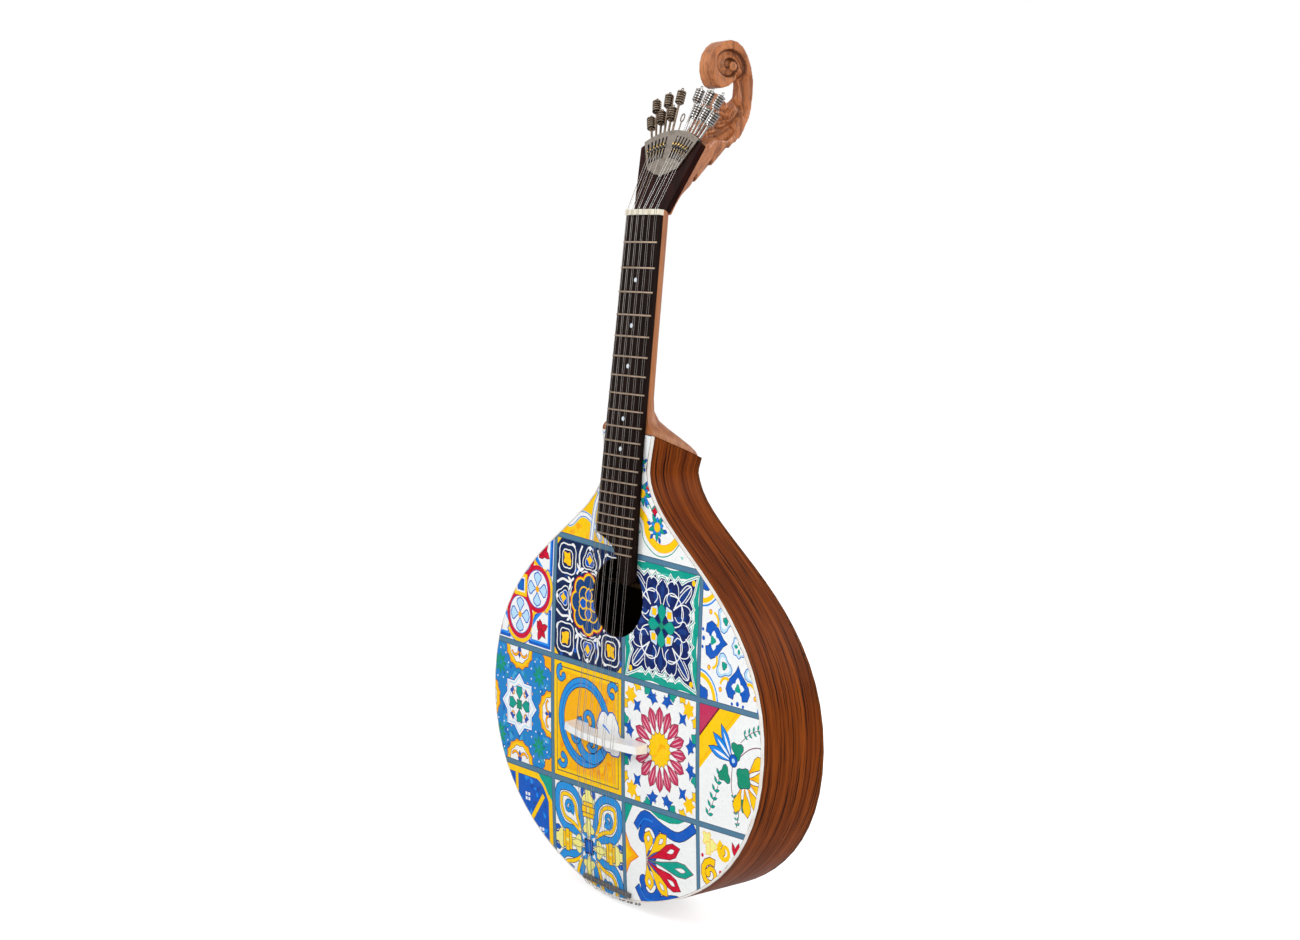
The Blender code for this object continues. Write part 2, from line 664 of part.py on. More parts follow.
def make_head_plate():
    corner = atan2(HEAD_HALF_WIDTH_TOP, HEAD_CORNER_V - FAN_CENTRE_V)
    outline = [Vector((-HEAD_HALF_WIDTH_NUT, head_foot_v())),
               Vector((HEAD_HALF_WIDTH_NUT, head_foot_v()))]
    outline += arc_uv(HEAD_ARC_RADIUS, corner, -corner, 18)
    bm = bmesh.new()
    head_prism(bm, outline, -HEAD_PLATE_THICK, 0.0)
    plate = add_object("head_plate", bm, "rosewood")
    window = (arc_uv(WINDOW_FOOT_RADIUS, -WINDOW_HALF_ANGLE, WINDOW_HALF_ANGLE, 8)
              + arc_uv(HEAD_ARC_RADIUS + 12 * MM, WINDOW_HALF_ANGLE, -WINDOW_HALF_ANGLE, 8))
    bm = bmesh.new()
    head_prism(bm, window, -HEAD_PLATE_THICK - 2 * MM, 2 * MM)
    boolean(plate, cutter("fan_window_cutter", bm))


def keel_point(y, z):
    """A point of the scroll's side view, in units back from and above the plate's foot."""
    return HEAD_ORIGIN + Vector((0, y, z)) * SCROLL_UNIT


def keel_line(*points):
    return smooth_line([keel_point(y, z) for y, z in points], 3)


def scroll_profile():
    """Side view of the scroll's keel: up the front to the leaf tip, round the curl, down the back."""
    front = keel_line((30.9, 58.4), (38.4, 69.9), (48.4, 80.9), (57.4, 91.4), (65.4, 104.4),
                      (70.4, 116.9))
    notch = keel_line((75.4, 112.9), (81.4, 110.4), (85.9, 114.9), (87.9, 124.4), (88.4, 134.4))
    curl = keel_line((86.4, 132.4), (81.4, 124.4), (71.4, 120.4), (59.4, 120.4), (48.9, 123.9),
                     (41.9, 133.9), (39.9, 144.9), (44.4, 155.4), (53.9, 162.4), (66.4, 165.9),
                     (79.9, 165.4), (92.9, 159.4), (103.4, 148.4), (110.4, 133.9), (111.9, 119.9),
                     (109.4, 103.4), (102.9, 84.4), (92.9, 72.4))
    return front + notch + curl


def wedge_section(v):
    """Front and back depth behind the plate's face, and half width at the front."""
    near = -HEAD_PLATE_THICK - GAP
    shoulder = max(0.0, v - HEAD_CORNER_V - HEAD_SHOULDER)
    front = near - 1.12 * shoulder
    half = min(head_half_width(v), head_half_width(HEAD_CORNER_V)) - 0.85 * shoulder
    back = -(HEAD_WEDGE_DEPTH + 0.58 * max(0.0, v - HEAD_WEDGE_START))
    return front, back, max(half, SCROLL_HALF_WIDTH)


def make_head():
    """The wood of the head: a wedge behind the plate, the keel with its scroll, two hollows."""
    foot = head_foot_v()
    shares = (0.0, 0.2, 0.4, 0.6, 0.78, 0.9, 1.0)
    rings = []
    top = HEAD_CORNER_V + HEAD_SHOULDER
    stations = [lerp(foot, top, share) for share in (0, 0.145, 0.295, 0.445, 0.625, 0.805, 1)]
    for v in stations + [top + units * SCROLL_UNIT for units in (7, 15, 24, 33)]:
        front, back, half = wedge_section(v)
        round_back = max(0.0, 1 - (v - foot) / HEAD_ROUND_LENGTH)
        right = []
        for share in shares:
            flat = lerp(half, SCROLL_HALF_WIDTH, share ** 0.85) - 1.5 * MM * (share == 1.0)
            bowed = half * sqrt(max(0.02, 1 - share * share))
            right.append((lerp(flat, bowed, round_back), lerp(front, back, share)))
        rings.append([head_point(x, v, n) for x, n in right]
                     + [head_point(-x, v, n) for x, n in reversed(right)])
    head = loft("scroll_head", rings, "cedar")
    profile = scroll_profile()
    bm = bmesh.new()
    add_rings(bm, [[Vector((x, p.y, p.z)) for p in profile]
                   for x in (-SCROLL_HALF_WIDTH, SCROLL_HALF_WIDTH)])
    boolean(head, cutter("scroll_keel", bm), "UNION")
    bm = bmesh.new()
    sides = 16
    eye = keel_point(70.4, 141.9)
    round_eye, stands = 4.8 * SCROLL_UNIT, 4.5 * SCROLL_UNIT
    add_rings(bm, [[Vector((x, eye.y + round_eye * cos(2 * pi * i / sides),
                            eye.z + round_eye * sin(2 * pi * i / sides))) for i in range(sides)]
                   for x in (-SCROLL_HALF_WIDTH - stands, SCROLL_HALF_WIDTH + stands)])
    boolean(head, cutter("scroll_eye", bm), "UNION")
    bm = bmesh.new()
    for side in (-1, 1):
        hollow = bmesh.ops.create_icosphere(bm, subdivisions=3, radius=1.0)
        centre = keel_point(62.4, 95.9)
        for vert in hollow["verts"]:
            vert.co = centre + Vector((side * 39 + vert.co.x * 26, vert.co.y * 25,
                                       vert.co.z * 25)) * SCROLL_UNIT
    boolean(head, cutter("head_hollows", bm))
    turns, sections, groove = 1.6, 34, 2.4 * SCROLL_UNIT
    bm = bmesh.new()
    for side in (-1, 1):
        rings = []
        for i in range(sections + 1):
            share = i / sections
            angle = radians(-40) + 2 * pi * turns * share
            radius = lerp(20, 7.6, share) * SCROLL_UNIT
            middle = Vector((side * SCROLL_HALF_WIDTH, eye.y + radius * cos(angle),
                             eye.z + radius * sin(angle)))
            out = Vector((0, cos(angle), sin(angle)))
            rings.append([middle + groove * (out * cos(2 * pi * k / 6)
                                             + Vector((side, 0, 0)) * sin(2 * pi * k / 6))
                          for k in range(6)])
        add_rings(bm, rings)
    boolean(head, cutter("volute_grooves", bm))


# Fan tuning machine

def screw_angles():
    """Screw directions from the bass side to the treble side."""
    right = [FIRST_SCREW_ANGLE + SCREW_STEP * i for i in range(SCREWS_PER_SIDE)]
    return [-angle for angle in reversed(right)] + right


def is_long(number):
    """The longer screws alternate, starting at the middle of the fan."""
    from_middle = SCREWS_PER_SIDE - 1 - number if number < SCREWS_PER_SIDE else number - SCREWS_PER_SIDE
    return from_middle % 2 == 0


def radial_bar(bm, angle, low, high, section):
    """Sweep a section of (across, n) pairs along a screw's direction."""
    along = Vector((cos(angle), -sin(angle)))
    rings = []
    for radius in (low, high):
        centre = fan_uv(angle, radius)
        rings.append([head_point(centre.x + along.x * a, centre.y + along.y * a, n)
                      for a, n in section])
    add_rings(bm, rings)


def circle_section(radius, sides, n):
    return [(radius * cos(2 * pi * i / sides), n + radius * sin(2 * pi * i / sides))
            for i in range(sides)]


def make_fan_plate():
    foot = [Vector((x * FAN_FOOT_RADIUS, FAN_CENTRE_V + y * FAN_FOOT_RADIUS))
            for x, y in ((0.383, 0.825), (0.272, 0.765), (0.185, 0.733), (0.099, 0.731),
                         (0.044, 0.706), (0, 0.657))]
    outline = arc_uv(FAN_RADIUS, -FAN_HALF_ANGLE, FAN_HALF_ANGLE, 20)
    outline += [fan_uv(FAN_HALF_ANGLE, FAN_FOOT_RADIUS), *foot]
    outline += [Vector((-p.x, p.y)) for p in reversed(foot[:-1])]
    outline.append(fan_uv(-FAN_HALF_ANGLE, FAN_FOOT_RADIUS))
    bm = bmesh.new()
    head_prism(bm, outline, GAP, GAP + FAN_PLATE_THICK)
    plate = add_object("fan_plate", bm, "nickel")
    wall_angle = WINDOW_HALF_ANGLE - radians(0.4)
    wall = (arc_uv(FAN_RADIUS - FAN_WALL_THICK, -wall_angle, wall_angle, 18)
            + arc_uv(FAN_RADIUS, wall_angle, -wall_angle, 18))
    bm = bmesh.new()
    head_prism(bm, wall, -FAN_WALL_DEPTH, GAP + FAN_PLATE_THICK / 2)
    boolean(plate, cutter("fan_wall", bm), "UNION")
    bm = bmesh.new()
    radial_bar(bm, 0.0, FAN_RADIUS - 2 * MM, RING_AT - RING_HALF_HEIGHT + RING_WIRE,
               circle_section(RING_WIRE, 8, -SCREW_DEPTH))
    ring_rings = []
    for i in range(16):
        angle = 2 * pi * i / 16
        middle = Vector((RING_HALF_WIDTH * cos(angle),
                         FAN_CENTRE_V + RING_AT + RING_HALF_HEIGHT * sin(angle)))
        out = Vector((cos(angle), sin(angle)))
        ring_rings.append([head_point(middle.x + out.x * a, middle.y + out.y * a, n)
                           for a, n in circle_section(RING_WIRE, 6, -SCREW_DEPTH)])
    made = [[bm.verts.new(point) for point in ring] for ring in ring_rings]
    for i, low in enumerate(made):
        high = made[(i + 1) % len(made)]
        for k in range(len(low)):
            m = (k + 1) % len(low)
            bm.faces.new((low[k], low[m], high[m], high[k]))
    eyelet = cutter("fan_eyelet", bm)
    mod = plate.modifiers.new("eyelet", "BOOLEAN")
    mod.operation, mod.solver, mod.use_self, mod.object = "UNION", "EXACT", True, eyelet
    bm = bmesh.new()
    for angle in screw_angles():
        radial_bar(bm, angle, SLOT_LOW, SLOT_HIGH,
                   [(-SLOT_HALF_WIDTH, -1 * MM), (SLOT_HALF_WIDTH, -1 * MM),
                    (SLOT_HALF_WIDTH, 3 * MM), (-SLOT_HALF_WIDTH, 3 * MM)])
    boolean(plate, cutter("fan_slot_cutter", bm))
    bm = bmesh.new()
    for angle in screw_angles():
        radial_bar(bm, angle, FAN_RADIUS - FAN_WALL_THICK - 1 * MM, FAN_RADIUS + 1 * MM,
                   circle_section(SCREW_HOLE_RADIUS, 8, -SCREW_DEPTH))
    boolean(plate, cutter("fan_hole_cutter", bm))


def turned(bm, angle, profile, sides):
    """Revolve (distance, radius) pairs about a screw's axis."""
    along = Vector((cos(angle), -sin(angle)))
    rings = []
    for distance, radius in profile:
        centre = fan_uv(angle, distance)
        rings.append([head_point(centre.x + along.x * a, centre.y + along.y * a, n)
                      for a, n in circle_section(radius, sides, -SCREW_DEPTH)])
    add_rings(bm, rings)


def screw_origin(angle):
    """A point on a screw's axis, level with the middle of its hook."""
    return fan_point(angle, HOOK_AT, -SCREW_DEPTH)


def make_screws():
    for number, angle in enumerate(screw_angles()):
        knob = LONG_KNOB_AT if is_long(number) else SHORT_KNOB_AT
        low, high = knob - KNOB_LENGTH / 2, knob + KNOB_LENGTH / 2
        ball = high + KNOB_BALL_RADIUS
        profile = [(SCREW_TIP, THREAD_RADIUS), (FAN_RADIUS + 0.6 * MM, THREAD_RADIUS),
                   (FAN_RADIUS + 0.6 * MM, ROD_RADIUS), (low, ROD_RADIUS),
                   (low, KNOB_RADIUS - 0.5 * MM), (low + 0.7 * MM, KNOB_RADIUS),
                   (high - 0.7 * MM, KNOB_RADIUS), (high, KNOB_RADIUS - 0.8 * MM),
                   (high, KNOB_BALL_RADIUS * 0.6), (ball, KNOB_BALL_RADIUS),
                   (ball + KNOB_BALL_RADIUS, KNOB_BALL_RADIUS * 0.6)]
        bm = bmesh.new()
        turned(bm, angle, profile, 8)
        add_object(f"tuner_screw_{number + 1:02d}", bm, "knob_steel", origin=screw_origin(angle))


def make_hooks():
    """Each hook straddles its screw's thread behind the plate and comes out through a slot."""
    inner = THREAD_RADIUS + GAP
    saddle = -SCREW_DEPTH + THREAD_RADIUS + GAP
    top = -0.5 * MM
    foot = -SCREW_DEPTH - THREAD_RADIUS - 0.6 * MM
    section = [(-inner, foot), (-inner, saddle), (inner, saddle), (inner, foot),
               (HOOK_HALF_WIDTH, foot), (HOOK_HALF_WIDTH, top), (HOOK_STEM_HALF_WIDTH, top),
               (HOOK_STEM_HALF_WIDTH, HOOK_RISE), (-HOOK_STEM_HALF_WIDTH, HOOK_RISE),
               (-HOOK_STEM_HALF_WIDTH, top), (-HOOK_HALF_WIDTH, top), (-HOOK_HALF_WIDTH, foot)]
    for number, angle in enumerate(screw_angles()):
        bm = bmesh.new()
        radial_bar(bm, angle, HOOK_AT - HOOK_LENGTH / 2, HOOK_AT + HOOK_LENGTH / 2, section)
        add_object(f"tuner_hook_{number + 1:02d}", bm, "brass", origin=screw_origin(angle))


# Strings, bridge and tail

def course_x(number, step, pair):
    """X of a string: six pairs, bass to treble."""
    course, second = divmod(number, 2)
    return (course - (COURSES - 1) / 2) * step + (second - 0.5) * pair


def nut_x(number):
    return course_x(number, NUT_COURSE_STEP, NUT_PAIR_GAP)


def nut_string_point(number, down):
    x = nut_x(number)
    rise = NUT_RISE - camber(x) - STRING_SLOT_DEPTH + GAP + STRING_RADIUS[number] * MM
    return neck_point(x, down, rise)


def bridge_crown_y():
    """Y of a middle string at the bridge: clear of the last fret by the string height there."""
    nut = neck_point(0, -NUT_LENGTH / 2, NUT_RISE - STRING_SLOT_DEPTH + GAP)
    last = neck_point(0, fret_at(FRET_COUNT), FRET_HEIGHT + STRING_OVER_LAST_FRET)
    return nut.y + (last.y - nut.y) * (nut.z - BRIDGE_Z) / (nut.z - last.z)


def bridge_x(number):
    return course_x(number, BRIDGE_COURSE_STEP, BRIDGE_PAIR_GAP)


def tail_x(number):
    return course_x(number, TAIL_COURSE_STEP, TAIL_PAIR_GAP)


def make_bridge():
    """A bar on two feet, round on top like the board, with a slot for each string."""
    top = bridge_crown_y() - STRING_SLOT_DEPTH + GAP + 0.2 * MM
    profile = []
    across = 12
    for i in range(across + 1):
        x = lerp(-BRIDGE_HALF_LENGTH, BRIDGE_HALF_LENGTH, i / across)
        profile.append((x, top + camber(x)))
    inside = BRIDGE_HALF_LENGTH - BRIDGE_FOOT_LENGTH
    foot = -max(dome_at(x, BRIDGE_Z) for x in (inside, inside + BRIDGE_FOOT_LENGTH / 2)) - GAP
    profile += [(BRIDGE_HALF_LENGTH, foot), (inside, foot), (inside - 2 * MM, foot - BRIDGE_ARCH / 2),
                (inside - 8 * MM, foot - BRIDGE_ARCH), (-inside + 8 * MM, foot - BRIDGE_ARCH),
                (-inside + 2 * MM, foot - BRIDGE_ARCH / 2), (-inside, foot),
                (-BRIDGE_HALF_LENGTH, foot)]
    rings = []
    for side in (-1, 1):
        ring = []
        for x, y in profile:
            share = (y - foot) / (top - foot)
            thick = lerp(BRIDGE_FOOT_THICK, BRIDGE_TOP_THICK, share)
            ring.append(Vector((x, y, BRIDGE_Z + side * thick / 2)))
        rings.append(ring)
    bridge = loft("bridge", rings, "white_edge")
    bm = bmesh.new()
    for number in range(2 * COURSES):
        x = bridge_x(number)
        floor = top + camber(x) + STRING_SLOT_DEPTH
        add_rings(bm, [[Vector((x + side * STRING_SLOT_WIDTH / 2, y, z))
                        for side, y in ((-1, floor), (1, floor), (1, top - 5 * MM), (-1, top - 5 * MM))]
                       for z in (BRIDGE_Z - 8 * MM, BRIDGE_Z + 8 * MM)])
    boolean(bridge, cutter("bridge_slot_cutter", bm))


def tail_bar_front():
    return -dome_at(0, TAIL_BAR_Z) - GAP - TAIL_BAR_RISE


def make_tail_bar():
    rear = -dome_at(0, TAIL_BAR_Z + TAIL_BAR_THICK / 2) - GAP
    front = tail_bar_front()
    half = TAIL_BAR_THICK / 2
    section = [(rear, -half), (lerp(rear, front, 0.6), -half), (front, -TAIL_BAR_FLAT),
               (front, TAIL_BAR_FLAT), (lerp(rear, front, 0.6), half), (rear, half)]
    loft("tail_bar", [[Vector((x, y, TAIL_BAR_Z + z)) for y, z in section]
                      for x in (-TAIL_BAR_HALF_LENGTH, TAIL_BAR_HALF_LENGTH)], "ebony")


def tail_z(x, out):
    """Height of the rib's outer face under the tail, moved outwards."""
    line = half_outline(-out)
    x = abs(x)
    for (x0, z0), (x1, z1) in zip(line, line[1:]):
        if x0 <= x <= x1:
            return lerp(z0, z1, (x - x0) / (x1 - x0))
    return line[0][1]


def make_tailpiece():
    """A thin metal plate bent round the rib under the tail, with a pin for each string."""
    steps = 16
    reach = TAIL_BAR_HALF_LENGTH + 3 * MM
    near, far = TAIL_PLATE_Y
    rings = []
    for i in range(steps + 1):
        x = lerp(-reach, reach, i / steps)
        inner, outer = tail_z(x, GAP), tail_z(x, GAP + TAIL_PLATE_THICK)
        rings.append([Vector((x, near, inner)), Vector((x, far, inner)), Vector((x, far, outer)),
                      Vector((x, near, outer))])
    plate = loft("tailpiece", rings, "steel")
    bm = bmesh.new()
    sides = 6
    for number in range(2 * COURSES):
        x = tail_x(number)
        base = tail_z(x, GAP + TAIL_PLATE_THICK / 2)
        levels = ((base, PIN_RADIUS), (base - PIN_LENGTH + 1.2 * MM, PIN_RADIUS),
                  (base - PIN_LENGTH + 0.8 * MM, PIN_RADIUS * 1.5),
                  (base - PIN_LENGTH, PIN_RADIUS * 1.3))
        add_rings(bm, [[Vector((x + radius * cos(2 * pi * k / sides),
                                PIN_Y + radius * sin(2 * pi * k / sides), z)) for k in range(sides)]
                       for z, radius in levels])
    boolean(plate, cutter("tail_pins", bm), "UNION")


def make_strings():
    """Each string runs from its hook over the nut, bridge and tail bar to its pin."""
    sides = 5
    for number, angle in enumerate(screw_angles()):
        radius = STRING_RADIUS[number] * MM
        hook = fan_point(angle, HOOK_AT - HOOK_LENGTH / 2 - GAP, GAP + FAN_PLATE_THICK + 0.9 * MM)
        nut_top, nut_foot = nut_string_point(number, -NUT_LENGTH - GAP), nut_string_point(number, 0.0)
        x = bridge_x(number)
        reach = BRIDGE_TOP_THICK / 2 + GAP
        bridge_top, bridge_foot = (Vector((x, bridge_crown_y() + camber(x) - radius, BRIDGE_Z + z))
                                   for z in (reach, -reach))
        x = tail_x(number)
        reach = TAIL_BAR_FLAT + GAP
        bar_top, bar_foot = (Vector((x, tail_bar_front() - GAP - radius, TAIL_BAR_Z + z))
                             for z in (reach, -reach))
        edge = tail_z(x, 0)
        corner = Vector((x, -0.9 * MM - radius, edge - 0.6 * MM - radius))
        below = Vector((x, 2.0 * MM, edge - 1.5 * MM - radius))
        pin = Vector((x, PIN_Y - PIN_RADIUS - GAP, tail_z(x, GAP + TAIL_PLATE_THICK) - 1.2 * MM))
        path = [hook, nut_top, nut_foot, bridge_top, bridge_foot, bar_top, bar_foot,
                corner, below, pin]
        rings = []
        for i, point in enumerate(path):
            into = (path[i] - path[i - 1]).normalized() if i else None
            onto = (path[i + 1] - path[i]).normalized() if i + 1 < len(path) else None
            along = ((into or onto) + (onto or into)).normalized()
            side = Vector((1, 0, 0)) - along * along.x
            side.normalize()
            up = along.cross(side)
            rings.append([point + radius * (side * cos(2 * pi * k / sides)
                                            + up * sin(2 * pi * k / sides))
                          for k in range(sides)])
        loft(f"string_{number + 1:02d}", rings, "steel", smooth=True)


def main():
    clear_scene()
    make_soundboard()
    make_back()
    make_ribs()
    make_strip("binding", 0.0, BINDING_WIDTH, 0.0, SOUNDBOARD_THICK, 0.0, "white_edge")
    front = SOUNDBOARD_THICK + GAP
    rear = TAIL_DEPTH - BACK_THICK - GAP
    make_strip("lining_top", RIB_THICK + GAP, LINING_WIDTH, front, front + LINING_DEPTH, 0.0,
               "spruce", LINING_TOP_Z)
    make_strip("lining_back", RIB_THICK + GAP, LINING_WIDTH, rear - LINING_DEPTH, rear,
               BACK_TAPER, "spruce", LINING_TOP_Z)
    make_blocks()
    make_braces()
    make_neck()
    make_fingerboard()
    make_wedge()
    make_nut()
    make_head_plate()
    make_head()
    make_fan_plate()
    make_screws()
    make_hooks()
    make_bridge()
    make_tail_bar()
    make_tailpiece()
    make_strings()


main()
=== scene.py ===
"""A Portuguese guitar with a painted soundboard, seen as in the reference photograph."""
import random
import bmesh
import bpy
from math import atan2, cos, hypot, log, pi, radians, sin, sqrt
from mathutils import Matrix, Vector
from mathutils.geometry import delaunay_2d_cdt, interpolate_bezier


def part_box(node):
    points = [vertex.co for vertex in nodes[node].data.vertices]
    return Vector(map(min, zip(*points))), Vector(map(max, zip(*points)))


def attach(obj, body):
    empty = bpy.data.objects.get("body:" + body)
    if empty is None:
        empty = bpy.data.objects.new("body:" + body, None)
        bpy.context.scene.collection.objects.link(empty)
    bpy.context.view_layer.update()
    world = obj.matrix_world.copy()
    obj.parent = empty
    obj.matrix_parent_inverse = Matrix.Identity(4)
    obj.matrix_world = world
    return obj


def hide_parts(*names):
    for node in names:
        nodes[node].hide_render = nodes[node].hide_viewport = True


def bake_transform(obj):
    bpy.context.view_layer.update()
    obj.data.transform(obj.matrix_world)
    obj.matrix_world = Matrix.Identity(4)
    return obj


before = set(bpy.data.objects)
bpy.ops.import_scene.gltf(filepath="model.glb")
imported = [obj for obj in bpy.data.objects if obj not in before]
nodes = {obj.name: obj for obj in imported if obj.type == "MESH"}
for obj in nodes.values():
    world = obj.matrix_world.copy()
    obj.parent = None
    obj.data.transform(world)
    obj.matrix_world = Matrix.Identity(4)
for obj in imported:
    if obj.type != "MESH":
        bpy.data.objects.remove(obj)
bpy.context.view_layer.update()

MM = 0.001

# Camera, fitted to the frets, the nut, the knobs, the soundhole and the body's outline
VIEW_AZIMUTH = radians(49.738)
VIEW_HEIGHT = radians(5.936)
VIEW_ROLL = radians(2.380)
VIEW_SIDE, VIEW_UP = 24.67 * MM, 52.98 * MM
VIEW_DISTANCE = 1573.47 * MM
VIEW_FOCUS = 1706.21                  # in pixels of the photograph
PHOTO_WIDTH, SENSOR_WIDTH = 1300, 36.0

# Studio
FLOOR_Z, FLOOR_REACH = -9 * MM, 40.0
PAPER, PAPER_LIFT = (0.82, 0.82, 0.82), 0.64
SKY_LIGHT, SKY_STRENGTH = (0.93, 0.96, 1.0), 0.5
STUDIO_LAMPS = (("key", (-0.9, -2.2, 1.7), (0, 0, 0.4), 1.3, 32),      # place, aim, size and power
                ("side", (2.6, -0.9, 1.2), (0, 0, 0.35), 1.5, 34),
                ("back", (0.8, 2.4, 1.4), (0, 0, 0.4), 1.5, 26))
CORNERS = ((-1, -1), (1, -1), (1, 1), (-1, 1))                         # of a square

# Sizes that the solids have too
BODY_LENGTH, BODY_HALF_WIDTH, WIDEST_Z = 438.0, 197.0, 174.0      # these in millimetres
WAIST_HALF_WIDTH, WAIST_Z, TOP_HALF_WIDTH = 32.5, 414.0, 36.5
TAIL_HANDLE, LOWER_HANDLE, UPPER_HANDLE, WAIST_HANDLE, WAIST_FLARE = 52.0, 135.0, 146.0, 67.0, 13.0
BOARD_INSET, BOARD_THICK = 1.9, 2.5
DOME_RISE, DOME_CENTRE_Z = 5.0, 200.0
SOUNDHOLE_RADIUS, SOUNDHOLE_Z = 36.5, 284.5
NECK_LEAN, BOARD_HEIGHT, NUT_TO_BODY = radians(3.7), 6.2, 198.5
SCALE, FRET_COUNT, FRET_WIDTH, FRET_HEIGHT, BOARD_RADIUS = 440.0, 21, 1.8, 1.0, 165.0
HEAD_LEAN = radians(20)
HOOK_AT, LONG_KNOB_AT, SHORT_KNOB_AT = 58.5, 110.0, 94.5
SCREW_DEPTH = 3.2


# ---------------------------------------------------------------- Objects and nodes

def link(name, data, materials=()):
    """A new object of the scene, with its materials."""
    obj = bpy.data.objects.new(name, data)
    for mat in materials:
        data.materials.append(mat)
    bpy.context.scene.collection.objects.link(obj)
    return obj


def feed(tree, slot, value):
    """Gives an input its value, or links another node's output to it. A colour may lack alpha."""
    if hasattr(value, "is_output"):
        tree.links.new(value, slot)
    else:
        slot.default_value = (*value, 1) if slot.type == "RGBA" and len(value) == 3 else value


def fill(tree, node, inputs):
    for label, value in inputs.items():
        feed(tree, node.inputs[label], value)


def add_node(tree, kind, inputs=None, **settings):
    node = tree.nodes.new(kind)
    for key, value in settings.items():
        setattr(node, key, value)
    fill(tree, node, inputs or {})
    return node


def maths(tree, operation, a, b):
    return add_node(tree, "ShaderNodeMath", {0: a, 1: b}, operation=operation).outputs[0]


def noise(tree, vector, scale, detail=4.0, rough=0.55, distortion=0.0):
    return add_node(tree, "ShaderNodeTexNoise",
                    {"Vector": vector, "Scale": scale, "Detail": detail, "Roughness": rough,
                     "Distortion": distortion}).outputs["Fac"]


def ranged(tree, value, low, high, to_low=0.0, to_high=1.0, blend="SMOOTHSTEP"):
    """A value's range turned into another range."""
    return add_node(tree, "ShaderNodeMapRange",
                    {"Value": value, "From Min": low, "From Max": high, "To Min": to_low,
                     "To Max": to_high}, interpolation_type=blend).outputs["Result"]


def mixed(tree, share, a, b, blend="MIX"):
    """Two colours mixed. The node has sockets for each type, and only one set is enabled."""
    node = add_node(tree, "ShaderNodeMix", data_type="RGBA", blend_type=blend)
    for slot, value in zip([s for s in node.inputs if s.enabled], (share, a, b)):
        feed(tree, slot, value)
    return [s for s in node.outputs if s.enabled][0]


# ---------------------------------------------------------------- Camera, floor and light

def place_camera():
    """The fitted camera: turned about a point at half the guitar's height, rolled and shifted."""
    back = Vector((sin(VIEW_AZIMUTH) * cos(VIEW_HEIGHT), -cos(VIEW_AZIMUTH) * cos(VIEW_HEIGHT),
                   sin(VIEW_HEIGHT)))
    ahead = -back
    right = ahead.cross(Vector((0, 0, 1))).normalized()
    up = right.cross(ahead)
    rolled_right = cos(VIEW_ROLL) * right + sin(VIEW_ROLL) * up
    rolled_up = -sin(VIEW_ROLL) * right + cos(VIEW_ROLL) * up
    place = (Vector((0, 0, 350 * MM)) - ahead * VIEW_DISTANCE
             + rolled_right * VIEW_SIDE + rolled_up * VIEW_UP)
    lens = bpy.data.cameras.new("photo_camera")
    lens.sensor_width = SENSOR_WIDTH
    lens.lens = VIEW_FOCUS * SENSOR_WIDTH / PHOTO_WIDTH
    lens.clip_end = 50
    camera = link("photo_camera", lens)
    turn = Matrix((rolled_right, rolled_up, -ahead)).transposed().to_4x4()
    camera.matrix_world = Matrix.Translation(place) @ turn
    bpy.context.scene.camera = camera


def add_lamp(name, place, aim, size, power):
    """A round soft lamp that looks at aim."""
    lamp = bpy.data.lights.new(name, "AREA")
    lamp.shape = "DISK"
    lamp.size = size
    lamp.energy = power
    obj = link(name, lamp)
    obj.location = place
    obj.rotation_euler = (Vector(aim) - Vector(place)).to_track_quat("-Z", "Y").to_euler()


def light_studio():
    """Three lamps in a white room: white where it is seen or mirrored, dimmer where it lights."""
    bpy.context.scene.view_settings.view_transform = "Standard"
    world = bpy.data.worlds.new("studio")
    bpy.context.scene.world = world
    world.use_nodes = True
    tree = world.node_tree
    tree.nodes.clear()
    ray = add_node(tree, "ShaderNodeLightPath").outputs
    seen = maths(tree, "MAXIMUM", ray["Is Camera Ray"], ray["Is Glossy Ray"])
    seen = maths(tree, "MAXIMUM", seen, ray["Is Transmission Ray"])
    sky = add_node(tree, "ShaderNodeBackground", {"Color": SKY_LIGHT, "Strength": SKY_STRENGTH})
    white = add_node(tree, "ShaderNodeBackground", {"Color": (1, 1, 1), "Strength": 1.0})
    mix = add_node(tree, "ShaderNodeMixShader", {0: seen, 1: sky.outputs[0], 2: white.outputs[0]})
    add_node(tree, "ShaderNodeOutputWorld", {"Surface": mix.outputs[0]})
    for lamp in STUDIO_LAMPS:
        add_lamp(*lamp)


def make_floor():
    """Matt white paper, lifted towards white where the camera sees it."""
    mesh = bpy.data.meshes.new("studio_floor")
    mesh.from_pydata([(x * FLOOR_REACH, y * FLOOR_REACH, FLOOR_Z) for x, y in CORNERS], [],
                     [(0, 1, 2, 3)])
    paper = bpy.data.materials.new("white_paper")
    paper.use_nodes = True
    tree = paper.node_tree
    tree.nodes.clear()
    seen = add_node(tree, "ShaderNodeLightPath").outputs["Is Camera Ray"]
    matt = add_node(tree, "ShaderNodeBsdfDiffuse", {"Color": PAPER})
    glow = add_node(tree, "ShaderNodeEmission",
                    {"Strength": maths(tree, "MULTIPLY", seen, PAPER_LIFT)})
    lit = add_node(tree, "ShaderNodeAddShader", {0: matt.outputs[0], 1: glow.outputs[0]})
    add_node(tree, "ShaderNodeOutputMaterial", {"Surface": lit.outputs[0]})
    floor = link("studio_floor", mesh, [paper])


# ---------------------------------------------------------------- Woods, metals and other finishes

